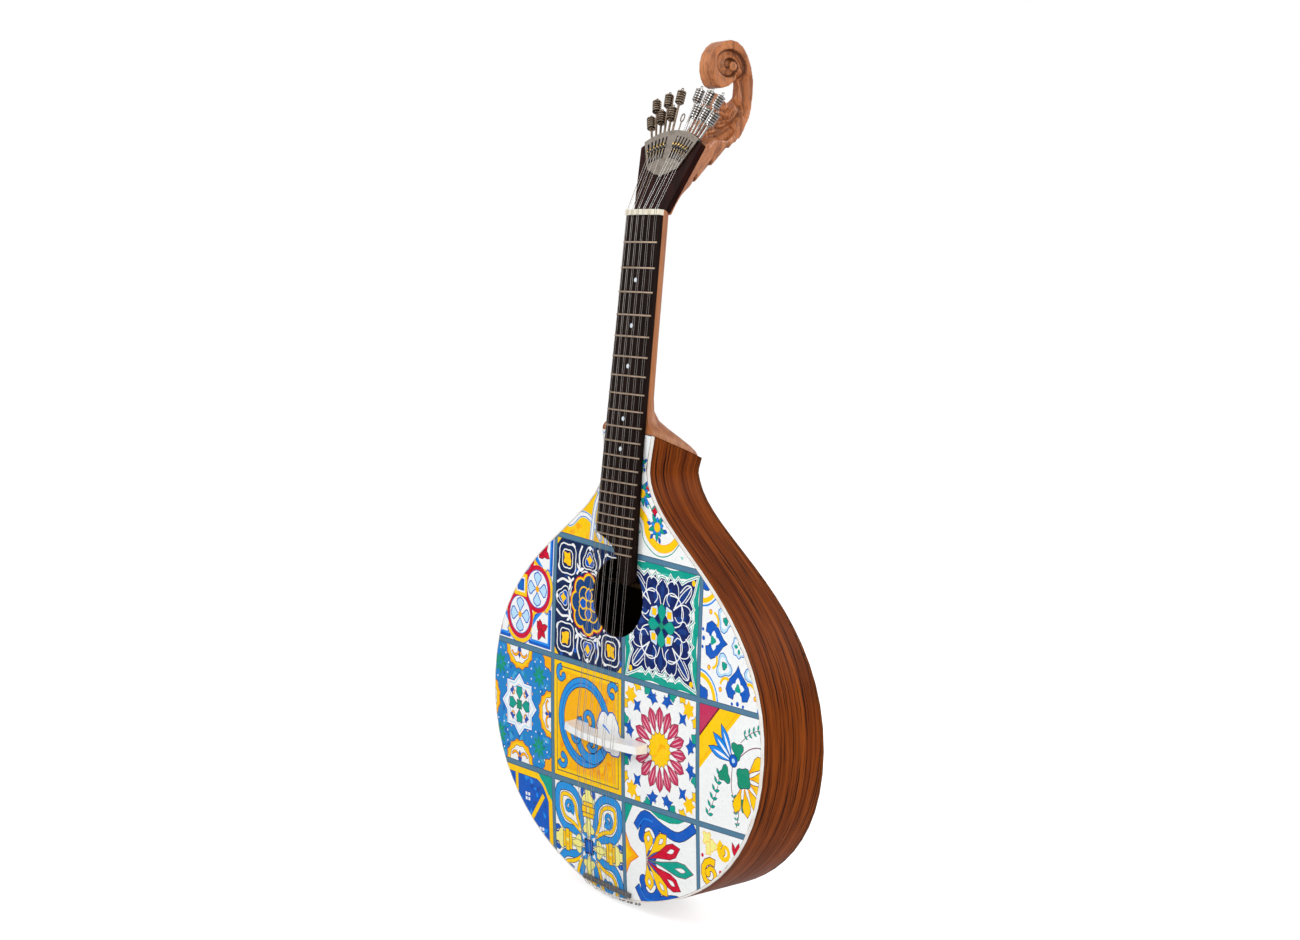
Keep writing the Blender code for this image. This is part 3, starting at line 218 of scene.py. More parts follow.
def new_group(name, inputs, outputs):
    """A shader node group with named sockets; a vector, a colour or a value by its default."""
    group = bpy.data.node_groups.new(name, "ShaderNodeTree")
    for label, default in inputs.items():
        kind = {3: "Vector", 4: "Color", 1: "Float"}[len(default)]
        socket = group.interface.new_socket(label, in_out="INPUT", socket_type=f"NodeSocket{kind}")
        socket.default_value = default[0] if len(default) == 1 else default
    for label, kind in outputs.items():
        group.interface.new_socket(label, in_out="OUTPUT", socket_type=f"NodeSocket{kind}")
    return group, group.nodes.new("NodeGroupInput").outputs, group.nodes.new("NodeGroupOutput")


def wood_group():
    """Grain along X of the vector it is given: broad figure, dark streaks and fine pores."""
    group, given, made = new_group(
        "wood_grain",
        {"Vector": (0, 0, 0), "Stretch": (6.0, 90.0, 90.0), "Light": (0.4, 0.2, 0.1, 1),
         "Middle": (0.25, 0.1, 0.04, 1), "Dark": (0.05, 0.02, 0.01, 1), "Streaks": (0.5,),
         "Pores": (0.5,), "Sheen Low": (0.3,), "Sheen High": (0.45,)},
        {"Color": "Color", "Roughness": "Float", "Height": "Float"})
    along = add_node(group, "ShaderNodeVectorMath", {0: given["Vector"], 1: given["Stretch"]},
                     operation="MULTIPLY").outputs[0]
    figure = ranged(group, noise(group, along, 0.55, 5.0, 0.55, 0.5), 0.32, 0.68)
    streaks = ranged(group, noise(group, along, 1.6, 3.0, 0.6, 0.2), 0.5, 0.66)
    streaks = maths(group, "MULTIPLY", streaks, given["Streaks"])
    pores = ranged(group, noise(group, along, 7.0, 2.0, 0.7), 0.52, 0.75)
    pores = maths(group, "MULTIPLY", pores, given["Pores"])
    colour = mixed(group, figure, given["Middle"], given["Light"])
    colour = mixed(group, streaks, colour, given["Dark"])
    colour = mixed(group, maths(group, "MULTIPLY", pores, 0.6), colour, given["Dark"])
    fill(group, made, {
        "Color": colour,
        "Roughness": ranged(group, figure, 0, 1, given["Sheen High"], given["Sheen Low"], "LINEAR"),
        "Height": maths(group, "SUBTRACT", maths(group, "MULTIPLY", figure, 0.3), pores)})
    return group


def metal_group():
    """Fine scratches, patches of tarnish and finger marks."""
    group, given, made = new_group(
        "handled_metal",
        {"Vector": (0, 0, 0), "Bright": (0.6, 0.6, 0.6, 1), "Tarnish": (0.3, 0.25, 0.2, 1),
         "Patches": (0.5,), "Scratches": (1.0,), "Sheen Low": (0.2,), "Sheen High": (0.4,)},
        {"Color": "Color", "Roughness": "Float", "Height": "Float"})
    patches = ranged(group, noise(group, given["Vector"], 180.0, 5.0, 0.65), 0.42, 0.68)
    patches = maths(group, "MULTIPLY", patches, given["Patches"])
    scratches = noise(group, given["Vector"], 2400.0, 2.0, 0.7)
    worn = maths(group, "MAXIMUM", patches, maths(group, "MULTIPLY", scratches, 0.5))
    fill(group, made, {
        "Color": mixed(group, patches, given["Bright"], given["Tarnish"]),
        "Roughness": ranged(group, worn, 0, 1, given["Sheen Low"], given["Sheen High"], "LINEAR"),
        "Height": maths(group, "MULTIPLY", scratches, given["Scratches"])})
    return group


WOOD, METAL = wood_group(), metal_group()


def new_material(name):
    """A material, its nodes, its shader and the piece's own coordinates."""
    mat = bpy.data.materials.new(name)
    mat.use_nodes = True
    tree = mat.node_tree
    place = add_node(tree, "ShaderNodeTexCoord").outputs["Object"]
    return mat, tree, tree.nodes["Principled BSDF"], place


def stored(tree, attribute, output):
    """What the mesh stores under this name."""
    return add_node(tree, "ShaderNodeAttribute", attribute_name=attribute).outputs[output]


def bumped(tree, shader, height, distance, strength=1.0):
    bump = add_node(tree, "ShaderNodeBump",
                    {"Height": height, "Distance": distance, "Strength": strength})
    feed(tree, shader.inputs["Normal"], bump.outputs["Normal"])


def wood(name, light, middle, dark, stretch, streaks, pores, sheen, depth=0.00008, grain=None,
         carved=None, shine=0.3):
    """A wood; the mesh may store the run of its bent grain, and the shade in its carved cuts."""
    mat, tree, shader, place = new_material(name)
    skin = add_node(tree, "ShaderNodeGroup",
                    {"Vector": stored(tree, grain, "Vector") if grain else place, "Light": light,
                     "Middle": middle, "Dark": dark, "Stretch": stretch, "Streaks": streaks,
                     "Pores": pores, "Sheen Low": sheen[0], "Sheen High": sheen[1]},
                    node_tree=WOOD).outputs
    colour = skin["Color"]
    # Painted shade: the wood is darkened in its carved cuts, as much as the mesh stores.
    if carved:
        crevice = ranged(tree, stored(tree, carved, "Fac"), 0.12, 0.85, 0, 0.88)
        colour = mixed(tree, crevice, colour, dark)
    fill(tree, shader, {"Base Color": colour, "Roughness": skin["Roughness"],
                        "Specular IOR Level": shine})
    bumped(tree, shader, skin["Height"], depth)
    return mat


def metal(name, bright, tarnish, patches, scratches, sheen, depth=0.00001):
    mat, tree, shader, place = new_material(name)
    skin = add_node(tree, "ShaderNodeGroup",
                    {"Vector": place, "Bright": bright, "Tarnish": tarnish, "Patches": patches,
                     "Scratches": scratches, "Sheen Low": sheen[0], "Sheen High": sheen[1]},
                    node_tree=METAL).outputs
    fill(tree, shader, {"Base Color": skin["Color"], "Roughness": skin["Roughness"],
                        "Metallic": 1.0})
    bumped(tree, shader, skin["Height"], depth)
    return mat


def bone_like(name, light, dark, sheen, scale=120.0):
    """A smooth, slightly cloudy stuff such as bone, horn or pearl."""
    mat, tree, shader, place = new_material(name)
    cloud = ranged(tree, noise(tree, place, scale, 4.0, 0.6, 0.4), 0.35, 0.7)
    fill(tree, shader, {"Base Color": mixed(tree, cloud, light, dark),
                        "Roughness": ranged(tree, cloud, 0, 1, *sheen), "Coat Weight": 0.3})
    bumped(tree, shader, noise(tree, place, scale * 12, 3.0, 0.6), 0.00004, 0.5)
    return mat


WALNUT = wood("rib_walnut", (0.26, 0.056, 0.006), (0.130, 0.024, 0.003), (0.008, 0.0018, 0.0006),
              (6.0, 300.0, 1.0), 0.96, 0.9, (0.3, 0.44), grain="grain", shine=0.04)
BACK_WALNUT = wood("back_walnut", (0.17, 0.043, 0.006), (0.105, 0.025, 0.003), (0.03, 0.008, 0.002),
                   (150.0, 150.0, 2.5), 0.8, 0.7, (0.3, 0.44), shine=0.04)
# Painted shade: the inside of the body is darkened to stand for the shade that lies there.
SHADED_INNER_WOOD = wood("unlit_inner_wood", (0.030, 0.014, 0.006), (0.02, 0.009, 0.004),
                  (0.008, 0.004, 0.002), (12.0, 240.0, 240.0), 0.4, 0.5, (0.6, 0.75), shine=0.02)
NECK_CEDAR = wood("neck_cedar", (0.43, 0.165, 0.062), (0.30, 0.095, 0.032), (0.12, 0.03, 0.01),
                  (170.0, 170.0, 9.0), 0.4, 0.8, (0.3, 0.46), shine=0.12)
SCROLL_CEDAR = wood("carved_cedar", (0.60, 0.225, 0.085), (0.42, 0.135, 0.044),
                    (0.075, 0.018, 0.006), (120.0, 90.0, 14.0), 0.5, 0.95, (0.28, 0.46), 0.0003,
                    carved="carved", shine=0.22)
SPRUCE = wood("inner_spruce", (0.16, 0.095, 0.04), (0.12, 0.07, 0.03), (0.07, 0.035, 0.014),
              (12.0, 240.0, 240.0), 0.4, 0.5, (0.55, 0.7))
EBONY = wood("board_ebony", (0.014, 0.0070, 0.0052), (0.0075, 0.0036, 0.0028),
             (0.002, 0.0012, 0.001), (260.0, 260.0, 8.0), 0.6, 0.8, (0.42, 0.55), shine=0.03)
ROSEWOOD = wood("head_rosewood", (0.026, 0.0042, 0.0022), (0.011, 0.0018, 0.001),
                (0.003, 0.0008, 0.0005), (160.0, 160.0, 7.0), 0.7, 0.5, (0.2, 0.3), shine=0.06)
FRET_BRASS = metal("fret_brass", (0.62, 0.46, 0.33), (0.34, 0.22, 0.14), 0.5, 0.6, (0.28, 0.45))
PLATE_NICKEL = metal("plate_nickel", (0.22, 0.19, 0.163), (0.12, 0.10, 0.08), 0.6, 1.0, (0.42, 0.6))
KNOB_STEEL = metal("knob_steel", (0.36, 0.35, 0.34), (0.13, 0.09, 0.065), 0.8, 0.8, (0.2, 0.4))
# Near-black steel: painted shade in the fan's slots and in the grooves between a knob's ridges.
SHADE_STEEL = metal("shade_steel", (0.034, 0.030, 0.027), (0.02, 0.016, 0.013), 0.7, 0.8,
                     (0.3, 0.5))
HOOK_BRASS = metal("hook_brass", (0.50, 0.34, 0.12), (0.20, 0.11, 0.04), 0.6, 0.8, (0.25, 0.42))
STRING_STEEL = metal("string_steel", (0.74, 0.73, 0.73), (0.46, 0.43, 0.41), 0.5, 0.2, (0.32, 0.44),
                     0.0)
# A darker copy of the string steel for the strings below the nut: painted shade.
SHADED_STRING_STEEL = metal("string_steel_painted_shade", (0.34, 0.31, 0.29), (0.20, 0.165, 0.14), 0.6, 0.2,
                     (0.34, 0.46), 0.0)
TAIL_STEEL = metal("tail_steel", (0.62, 0.62, 0.62), (0.34, 0.32, 0.3), 0.5, 0.8, (0.2, 0.38))
KNOB_BRONZE = metal("knob_bronze", (0.25, 0.19, 0.14), (0.06, 0.035, 0.02), 0.85, 0.8, (0.3, 0.5))
WOUND_BRONZE = metal("wound_string", (0.40, 0.34, 0.28), (0.24, 0.18, 0.12), 0.5, 0.2, (0.3, 0.44),
                     0.0)
NUT_BONE = bone_like("nut_bone", (0.80, 0.74, 0.60), (0.70, 0.62, 0.46), (0.3, 0.42))
BRIDGE_WHITE = bone_like("bridge_white", (0.88, 0.88, 0.86), (0.82, 0.81, 0.78), (0.32, 0.45))
EDGE_WHITE = bone_like("edge_white", (0.84, 0.81, 0.77), (0.74, 0.66, 0.58), (0.35, 0.48), 60.0)
TAIL_DARK = bone_like("tail_bar_dark", (0.085, 0.083, 0.085), (0.045, 0.044, 0.046), (0.3, 0.45))
PEARL = bone_like("pearl_dot", (0.78, 0.82, 0.84), (0.58, 0.66, 0.74), (0.18, 0.3), 900.0)


def painted_tile():
    """The printed glaze: the paint's own colour, a little uneven, under a clear varnish."""
    mat, tree, shader, place = new_material("painted_tile")
    wash = ranged(tree, noise(tree, place, 90.0, 5.0, 0.6, 0.8), 0.35, 0.75)
    brush = ranged(tree, noise(tree, place, 420.0, 4.0, 0.65, 1.2), 0.4, 0.72)
    thin = mixed(tree, maths(tree, "MULTIPLY", wash, 0.02), stored(tree, "paint", "Color"),
                 (0.80, 0.86, 0.90))
    deep = mixed(tree, maths(tree, "MULTIPLY", brush, 0.16), thin, (0.30, 0.34, 0.40), "MULTIPLY")
    fill(tree, shader, {"Base Color": deep, "Roughness": ranged(tree, wash, 0, 1, 0.34, 0.46),
                        "Specular IOR Level": 0.05})
    bumped(tree, shader, noise(tree, place, 140.0, 3.0, 0.5), 0.00012, 0.4)
    return mat


PAINTED_TILE = painted_tile()


# ---------------------------------------------------------------- Pieces made from the solids

def joined_mesh(node, name):
    """A node's surface with its loose triangles joined at their corners."""
    bm = bmesh.new()
    bm.from_mesh(nodes[node].data)
    bmesh.ops.remove_doubles(bm, verts=bm.verts, dist=0.002 * MM)
    bm.verts.index_update()
    mesh = bpy.data.meshes.new(name)
    mesh.from_pydata([v.co.copy() for v in bm.verts], [],
                     [[v.index for v in f.verts] for f in bm.faces])
    bm.free()
    return mesh


def shade(mesh, sharp):
    """Smooth, apart from edges sharper than this many degrees."""
    mesh.polygons.foreach_set("use_smooth", [True] * len(mesh.polygons))
    mesh.set_sharp_from_angle(angle=radians(sharp))


def smooth_copy(node, name, materials, sharp=30, body="guitar_body"):
    """A piece with the form of the solid."""
    mesh = joined_mesh(node, name)
    shade(mesh, sharp)
    piece = link(name, mesh, materials)
    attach(piece, body)
    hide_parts(node)
    return piece


def lerp(a, b, share):
    return a + (b - a) * share


RIB_SHIFT = 0.02                     # metres, so that the two ribs don't share one figure


def half_outline(inset, steps):
    """Points (x, z) in millimetres of the treble half of the soundboard's outline."""
    tail, top = Vector((0, 0, 0)), Vector((TOP_HALF_WIDTH, 0, BODY_LENGTH))
    widest, waist = Vector((BODY_HALF_WIDTH, 0, WIDEST_Z)), Vector((WAIST_HALF_WIDTH, 0, WAIST_Z))
    lower = interpolate_bezier(tail, tail + Vector((TAIL_HANDLE, 0, 0)),
                               widest - Vector((0, 0, LOWER_HANDLE)), widest, steps)
    upper = interpolate_bezier(widest, widest + Vector((0, 0, UPPER_HANDLE)),
                               waist - Vector((WAIST_FLARE, 0, WAIST_HANDLE)), waist, steps)
    line = list(lower) + list(upper[1:]) + [top]
    points = []
    for i, point in enumerate(line):
        along = (Vector((1, 0, 0)) if i == 0
                 else (line[min(i + 1, len(line) - 1)] - line[i - 1]).normalized())
        moved = point - Vector((along.z, 0, -along.x)) * inset
        points.append((max(moved.x, 0.0), min(moved.z, BODY_LENGTH)))
    return points


def full_outline(inset, steps=34):
    half = half_outline(inset, steps)
    return half + [(-x, z) for x, z in reversed(half[1:])]


def on_segment(x, z, start, end):
    """How far along the segment a point is, as a share of it, and its distance from it."""
    (x0, z0), (x1, z1) = start, end
    dx, dz = x1 - x0, z1 - z0
    share = min(1.0, max(0.0, ((x - x0) * dx + (z - z0) * dz) / (dx * dx + dz * dz)))
    return share, hypot(x - x0 - share * dx, z - z0 - share * dz)


def add_grain_along(mesh):
    """Stores how far each corner is along the bent rib, and its depth, for the wood's grain."""
    line = half_outline(0.0, 60)
    run = [0.0]
    for (x0, z0), (x1, z1) in zip(line, line[1:]):
        run.append(run[-1] + hypot(x1 - x0, z1 - z0))
    values = []
    for vert in mesh.vertices:
        x, z = abs(vert.co.x) / MM, vert.co.z / MM
        spots = [on_segment(x, z, start, end) for start, end in zip(line, line[1:])]
        near = min(range(len(spots)), key=lambda i: spots[i][1])
        at = lerp(run[near], run[near + 1], spots[near][0])
        values += [at * MM, vert.co.y + RIB_SHIFT * (vert.co.x > 0), 0.0]
    mesh.attributes.new("grain", "FLOAT_VECTOR", "POINT").data.foreach_set("vector", values)


def make_body():
    """Ribs, back, binding and neck; what lies inside keeps its plain form."""
    for side in ("bass", "treble"):
        rib = smooth_copy(f"rib_{side}", f"walnut_rib_{side}", [WALNUT, SHADED_INNER_WOOD])
        add_grain_along(rib.data)
        for face in rib.data.polygons:
            inwards = Vector((0, 0, 0.2)) - Vector((face.center.x, 0, face.center.z))
            face.material_index = int(face.normal.dot(inwards.normalized()) > 0.3)
    back = smooth_copy("back", "walnut_back", [BACK_WALNUT, SHADED_INNER_WOOD])
    for face in back.data.polygons:
        face.material_index = int(face.normal.y < -0.5)         # its inner face
    smooth_copy("binding", "white_binding", [EDGE_WHITE])
    smooth_copy("neck", "cedar_neck", [NECK_CEDAR], 40)
    for node in ("lining_top", "lining_back", "neck_block", "tail_block", "top_brace_lower",
                 "top_brace_upper", "back_brace_lower", "back_brace_upper"):
        finish_node(node, SPRUCE)
    finish_node("fingerboard_wedge", EBONY)


def finish_node(node, mat):
    mesh = nodes[node].data
    mesh.materials.clear()
    mesh.materials.append(mat)


# ---------------------------------------------------------------- The painted tiles
# A shape is (colour, points). Its points are in half tiles from the middle of its tile.
# Each tile's function gives the colour of its ground and its shapes, the lowest first.

def paint(red, green, blue):
    """A colour as it is seen, in 0 to 255, turned into the value that the shader takes."""
    return tuple(c / 255 / 12.92 if c <= 10 else ((c / 255 + 0.055) / 1.055) ** 2.4
                 for c in (red, green, blue))


YELLOW, ORANGE, PALE = paint(255, 203, 4), paint(255, 174, 4), paint(248, 238, 140)
COBALT, AZURE, NAVY = paint(18, 90, 190), paint(34, 138, 232), paint(16, 36, 80)
SKY, DUSK, WHITE = paint(186, 222, 246), paint(16, 108, 190), paint(243, 243, 241)
TEAL, GREEN, CRIMSON = paint(10, 158, 138), paint(22, 142, 108), paint(208, 8, 48)
ROSE, WINE, INK = paint(196, 52, 92), paint(112, 14, 40), paint(24, 66, 124)
RIVER, BLUSH, GOLD = paint(40, 146, 220), paint(232, 168, 184), paint(252, 180, 6)
GROUT, GROUT_LINE = paint(84, 124, 150), paint(52, 84, 108)
EDGE = 0.95                                # a tile's own edge, inside the grout


def patch(colour, points):
    return [(colour, list(points))]


def box(colour, width, height, x=0.0, y=0.0):
    return patch(colour, [(x + a * width, y + b * height) for a, b in CORNERS])


def circle(radius, sides, x=0.0, y=0.0):
    return [(x + radius * cos(2 * pi * i / sides), y + radius * sin(2 * pi * i / sides))
            for i in range(sides)]


def disc(colour, radius, x=0.0, y=0.0, lobes=0, depth=0.0, sides=20, squash=1.0, start=0.0):
    points = []
    for i in range(sides):
        angle = 2 * pi * i / sides
        reach = radius * (1 + depth * cos(lobes * (angle - radians(start))))
        points.append((x + reach * cos(angle), y + reach * squash * sin(angle)))
    return patch(colour, points)


def star(colour, tips, outer, inner, x=0.0, y=0.0, start=90.0):
    points = []
    for i in range(2 * tips):
        angle = radians(start) + pi * i / tips
        reach = inner if i % 2 else outer
        points.append((x + reach * cos(angle), y + reach * sin(angle)))
    return patch(colour, points)


def petal(colour, low, high, width, full=0.5, steps=6):
    """A petal that points up; full says how far along it is widest."""
    power = log(0.5) / log(full)
    right = [(width / 2 * sin(pi * (i / steps) ** power), lerp(low, high, i / steps))
             for i in range(1, steps)]
    return patch(colour, [(0.0, low)] + right + [(0.0, high)]
                 + [(-x, y) for x, y in reversed(right)])


def smooth_path(anchors, steps):
    points = []
    for i in range(len(anchors) - 1):
        before, start = anchors[max(i - 1, 0)], anchors[i]
        end, after = anchors[i + 1], anchors[min(i + 2, len(anchors) - 1)]
        for k in range(steps):
            t = k / steps
            points.append(tuple(0.5 * (2 * b + (c - a) * t + (2 * a - 5 * b + 4 * c - d) * t * t
                                       + (3 * b - a - 3 * c + d) * t ** 3)
                                for a, b, c, d in zip(before, start, end, after)))
    return points + [anchors[-1]]


def band(colour, path, width, ends=(1.0, 1.0), steps=4):
    """A brush stroke along a smooth line; ends are its widths there, as shares."""
    line = smooth_path(path, steps)
    left, right = [], []
    for i, (x, y) in enumerate(line):
        x0, y0 = line[max(i - 1, 0)]
        x1, y1 = line[min(i + 1, len(line) - 1)]
        long = hypot(x1 - x0, y1 - y0) or 1.0
        half = width / 2 * lerp(*ends, i / (len(line) - 1))
        over = (-(y1 - y0) / long * half, (x1 - x0) / long * half)
        left.append((x + over[0], y + over[1]))
        right.append((x - over[0], y - over[1]))
    return patch(colour, left + right[::-1])


def arc(colour, radius, low, high, width, x=0.0, y=0.0, ends=(1.0, 1.0)):
    count = max(3, round(abs(high - low) / 18))
    path = [(x + radius * cos(radians(lerp(low, high, i / count))),
             y + radius * sin(radians(lerp(low, high, i / count)))) for i in range(count + 1)]
    return band(colour, path, width, ends, 2)


def curl(colour, radius, turns, width, x=0.0, y=0.0, start=0.0, inner=0.3):
    """A spiral stroke that winds in, thins and ends in a round drop."""
    count = round(10 * turns) + 2
    path = []
    for i in range(count + 1):
        share = i / count
        angle = radians(start) + 2 * pi * turns * share
        reach = radius * lerp(1, inner, share)
        path.append((x + reach * cos(angle), y + reach * sin(angle)))
    return band(colour, path, width, (1.0, 0.6), 1) + disc(colour, width * 0.6, *path[-1], sides=10)


def put(shapes, x=0.0, y=0.0, turn=0.0, size=1.0, flip=1):
    c, s = cos(radians(turn)) * size, sin(radians(turn)) * size
    return [(colour, [(x + c * flip * a - s * b, y + s * flip * a + c * b) for a, b in points])
            for colour, points in shapes]


def fanned(shapes, *turns):
    return [shape for turn in turns for shape in put(shapes, turn=turn)]


def around(shapes, count, start=0.0):
    return [shape for i in range(count) for shape in put(shapes, turn=start + 360 * i / count)]


def both(shapes):
    return shapes + put(shapes, flip=-1)


def grown(points, by):
    """A closed line moved outwards."""
    area = sum(x0 * y1 - x1 * y0 for (x0, y0), (x1, y1) in zip(points, points[1:] + points[:1]))
    by = by if area > 0 else -by
    moved = []
    for i, (x, y) in enumerate(points):
        (x0, y0), (x1, y1) = points[i - 1], points[(i + 1) % len(points)]
        a, b = hypot(x - x0, y - y0) or 1.0, hypot(x1 - x, y1 - y) or 1.0
        nx, ny = (y - y0) / a + (y1 - y) / b, -(x - x0) / a - (x1 - x) / b
        long = nx * nx + ny * ny
        scale = 2 * by / max(long, 0.6)
        moved.append((x + nx * scale, y + ny * scale))
    return moved


def edged(shapes, colour, by=0.02):
    """Each shape over a painted outline of its own."""
    return [part for own, points in shapes for part in ((colour, grown(points, by)), (own, points))]


def under(shapes, colour, by=0.02):
    """One outline under all the shapes together."""
    return [(colour, grown(points, by)) for _, points in shapes] + shapes


def squares(*layers):
    """Squares on one another, each a colour and half a side."""
    return [shape for colour, size in layers for shape in box(colour, size, size)]


def curls(colour, edge, *strokes):
    """Outlined spirals, each from its radius, turns, width, place, start and inner share."""
    return [shape for stroke in strokes for shape in under(curl(colour, *stroke), edge, 0.014)]


def dabs(colours, count, size, seed, reach=0.95):
    """Uneven touches of the brush."""
    rng = random.Random(seed)
    made = []
    for _ in range(count):
        made += put(disc(rng.choice(colours), size * rng.uniform(0.5, 1.2), lobes=3, depth=0.25,
                         sides=8, squash=rng.uniform(0.4, 0.8)),
                    rng.uniform(-reach, reach), rng.uniform(-reach, reach), rng.uniform(0, 180))
    return made


def wheel_tile():
    corner = patch(COBALT, [(0.28, 0.93), (0.93, 0.93), (0.93, 0.28), (0.7, 0.22), (0.42, 0.42),
                            (0.22, 0.7)])
    corner += patch(AZURE, [(0.33, 0.88), (0.88, 0.88), (0.88, 0.33), (0.7, 0.29), (0.46, 0.46),
                            (0.29, 0.7)])
    corner += patch(WHITE, [(0.37, 0.84), (0.84, 0.84), (0.84, 0.37), (0.68, 0.35), (0.5, 0.5),
                            (0.35, 0.68)])
    corner += band(YELLOW, [(0.3, 0.86), (0.4, 0.42), (0.86, 0.3)], 0.075)
    lily = edged(petal(CRIMSON, -0.16, 0.17, 0.17, 0.4)
                 + fanned(petal(CRIMSON, -0.02, 0.2, 0.11), 70, -70)
                 + put(petal(CRIMSON, 0, 0.16, 0.1), turn=150), WINE, 0.012)
    corner += put(lily, 0.64, 0.64, -45)
    cross = petal(SKY, 0.03, 0.27, 0.2, 0.72)
    wheel = under(arc(YELLOW, 0.43, -52, 52, 0.07), COBALT, 0.016) + disc(CRIMSON, 0.39, sides=26)
    wheel += disc(COBALT, 0.315, sides=26) + disc(WHITE, 0.302, sides=26)
    wheel += around(under(cross, COBALT, 0.02), 4) + disc(ORANGE, 0.055, sides=10)
    middle = squares((CRIMSON, 0.2), (YELLOW, 0.185), (WHITE, 0.125), (COBALT, 0.1))
    middle += box(DUSK, 0.055, 0.06)
    return WHITE, around(corner, 4) + around(put(wheel, 0.5), 4) + middle


def rose_tile():
    corner = under(disc(NAVY, 0.25, 0.64, 0.64, 4, 0.12, 24, start=45), WHITE, 0.022)
    corner += edged(disc(NAVY, 0.15, 0.64, 0.64, 4, 0.1, 20, start=45), WHITE, 0.02)
    lily = petal(YELLOW, -0.13, 0.15, 0.15, 0.4) + fanned(petal(YELLOW, 0, 0.12, 0.08), 75, -75)
    corner += put(edged(lily, ORANGE, 0.008), 0.64, 0.64, -45)
    corner += patch(YELLOW, [(0.95, 0.95), (0.95, 0.84), (0.84, 0.95)])
    side = under(disc(NAVY, 0.17, 0, 0.72, 3, 0.2, 24, start=90), WHITE, 0.02)
    side += edged(disc(COBALT, 0.11, 0, 0.71, 3, 0.2, 18, start=90), WHITE, 0.012)
    side += put(petal(YELLOW, -0.08, 0.09, 0.11) + fanned(petal(YELLOW, 0, 0.09, 0.05), 80, -80),
                0, 0.72)
    side += both(band(WHITE, [(0.22, 0.92), (0.3, 0.76), (0.28, 0.56), (0.36, 0.44)], 0.04))
    side += both(band(WHITE, [(0.0, 0.5), (0.12, 0.52), (0.22, 0.48)], 0.03, (1.2, 0.5)))
    side += both(petal(WHITE, 0.86, 0.95, 0.1, 0.6))
    side += both(put(petal(WHITE, 0, 0.13, 0.06), 0.42, 0.86, -70)
                 + put(petal(WHITE, 0, 0.12, 0.05), 0.36, 0.62, 150))
    ring = around(put(petal(WHITE, -0.08, 0.1, 0.06, 0.5), 0, 0.58, 90), 8, 22.5)
    lobe = disc(INK, 0.15, 0, 0.32, sides=14)
    rose = (around(under(lobe, CRIMSON, 0.055), 8) + around(under(lobe, YELLOW, 0.036), 8)
            + around(lobe, 8))
    rose += around(edged(disc(INK, 0.13, 0, 0.18, sides=14), YELLOW, 0.024), 4, 45)
    rose += around(edged(petal(COBALT, 0, 0.25, 0.16, 0.62), YELLOW, 0.024), 4)
    rose += edged(disc(INK, 0.06, sides=10), YELLOW, 0.022)
    return NAVY, (dabs((paint(24, 56, 120), COBALT), 40, 0.06, 17) + around(side, 4) + ring
                  + around(corner, 4) + rose)


def arabesque_tile():
    fringe = band(TEAL, [(-0.95, 0.9), (-0.55, 0.87), (-0.25, 0.92), (0.2, 0.86), (0.6, 0.91),
                         (0.95, 0.88)], 0.13)
    fringe += band(paint(90, 196, 180), [(-0.8, 0.8), (-0.5, 0.83), (-0.3, 0.78), (0.1, 0.84),
                                         (0.4, 0.79), (0.75, 0.82)], 0.04, (0.4, 0.4))
    eighth = [(0.05, 0.76), (0.12, 0.68), (0.2, 0.8), (0.3, 0.7), (0.4, 0.8), (0.5, 0.72),
              (0.64, 0.8), (0.87, 0.89)]
    quarter = eighth + [(y, x) for x, y in reversed(eighth[:-1])]
    body = [point for i in range(4) for point in put(patch(NAVY, quarter), turn=-90 * i)[0][1]]
    ground = patch(WHITE, grown(body, 0.05)) + patch(TEAL, grown(body, 0.032))
    ground += patch(WHITE, grown(body, 0.018)) + patch(paint(14, 34, 96), body)
    ink = paint(18, 56, 128)
    glow = both(put(petal(ink, 0.25, 0.7, 0.12), turn=20)) + petal(ink, 0.42, 0.7, 0.1)
    glow += put(petal(ink, 0.45, 1.05, 0.16), turn=-45)
    line = band(WHITE, [(0.03, 0.34), (0.1, 0.5), (0.3, 0.56), (0.5, 0.42), (0.52, 0.2)], 0.02)
    line += band(WHITE, [(0.02, 0.74), (0.16, 0.6), (0.12, 0.44), (0.2, 0.34)], 0.018)
    line += band(WHITE, [(0.3, 0.3), (0.42, 0.52), (0.38, 0.72), (0.2, 0.74), (0.1, 0.64)], 0.018)
    line += band(WHITE, [(0.34, 0.34), (0.56, 0.48), (0.74, 0.72), (0.62, 0.74), (0.46, 0.6)],
                 0.018)
    tip = disc(YELLOW, 0.05, 0.8, 0.81, sides=8)
    gem = under(patch(SKY, [(0.13, 0.31), (0.25, 0.27), (0.29, 0.14), (0.2, 0.11), (0.11, 0.2)]),
                WHITE, 0.014)
    gem += edged(box(YELLOW, 0.05, 0.05, 0.2, 0.2), ORANGE, 0.008)
    leaf = edged(petal(TEAL, 0.02, 0.35, 0.2, 0.66), paint(6, 96, 92), 0.014)
    return WHITE, (around(fringe, 4) + ground + around(glow + tip, 4) + around(both(line), 4)
                   + around(gem, 4) + around(leaf, 4) + disc(GREEN, 0.06, sides=8))


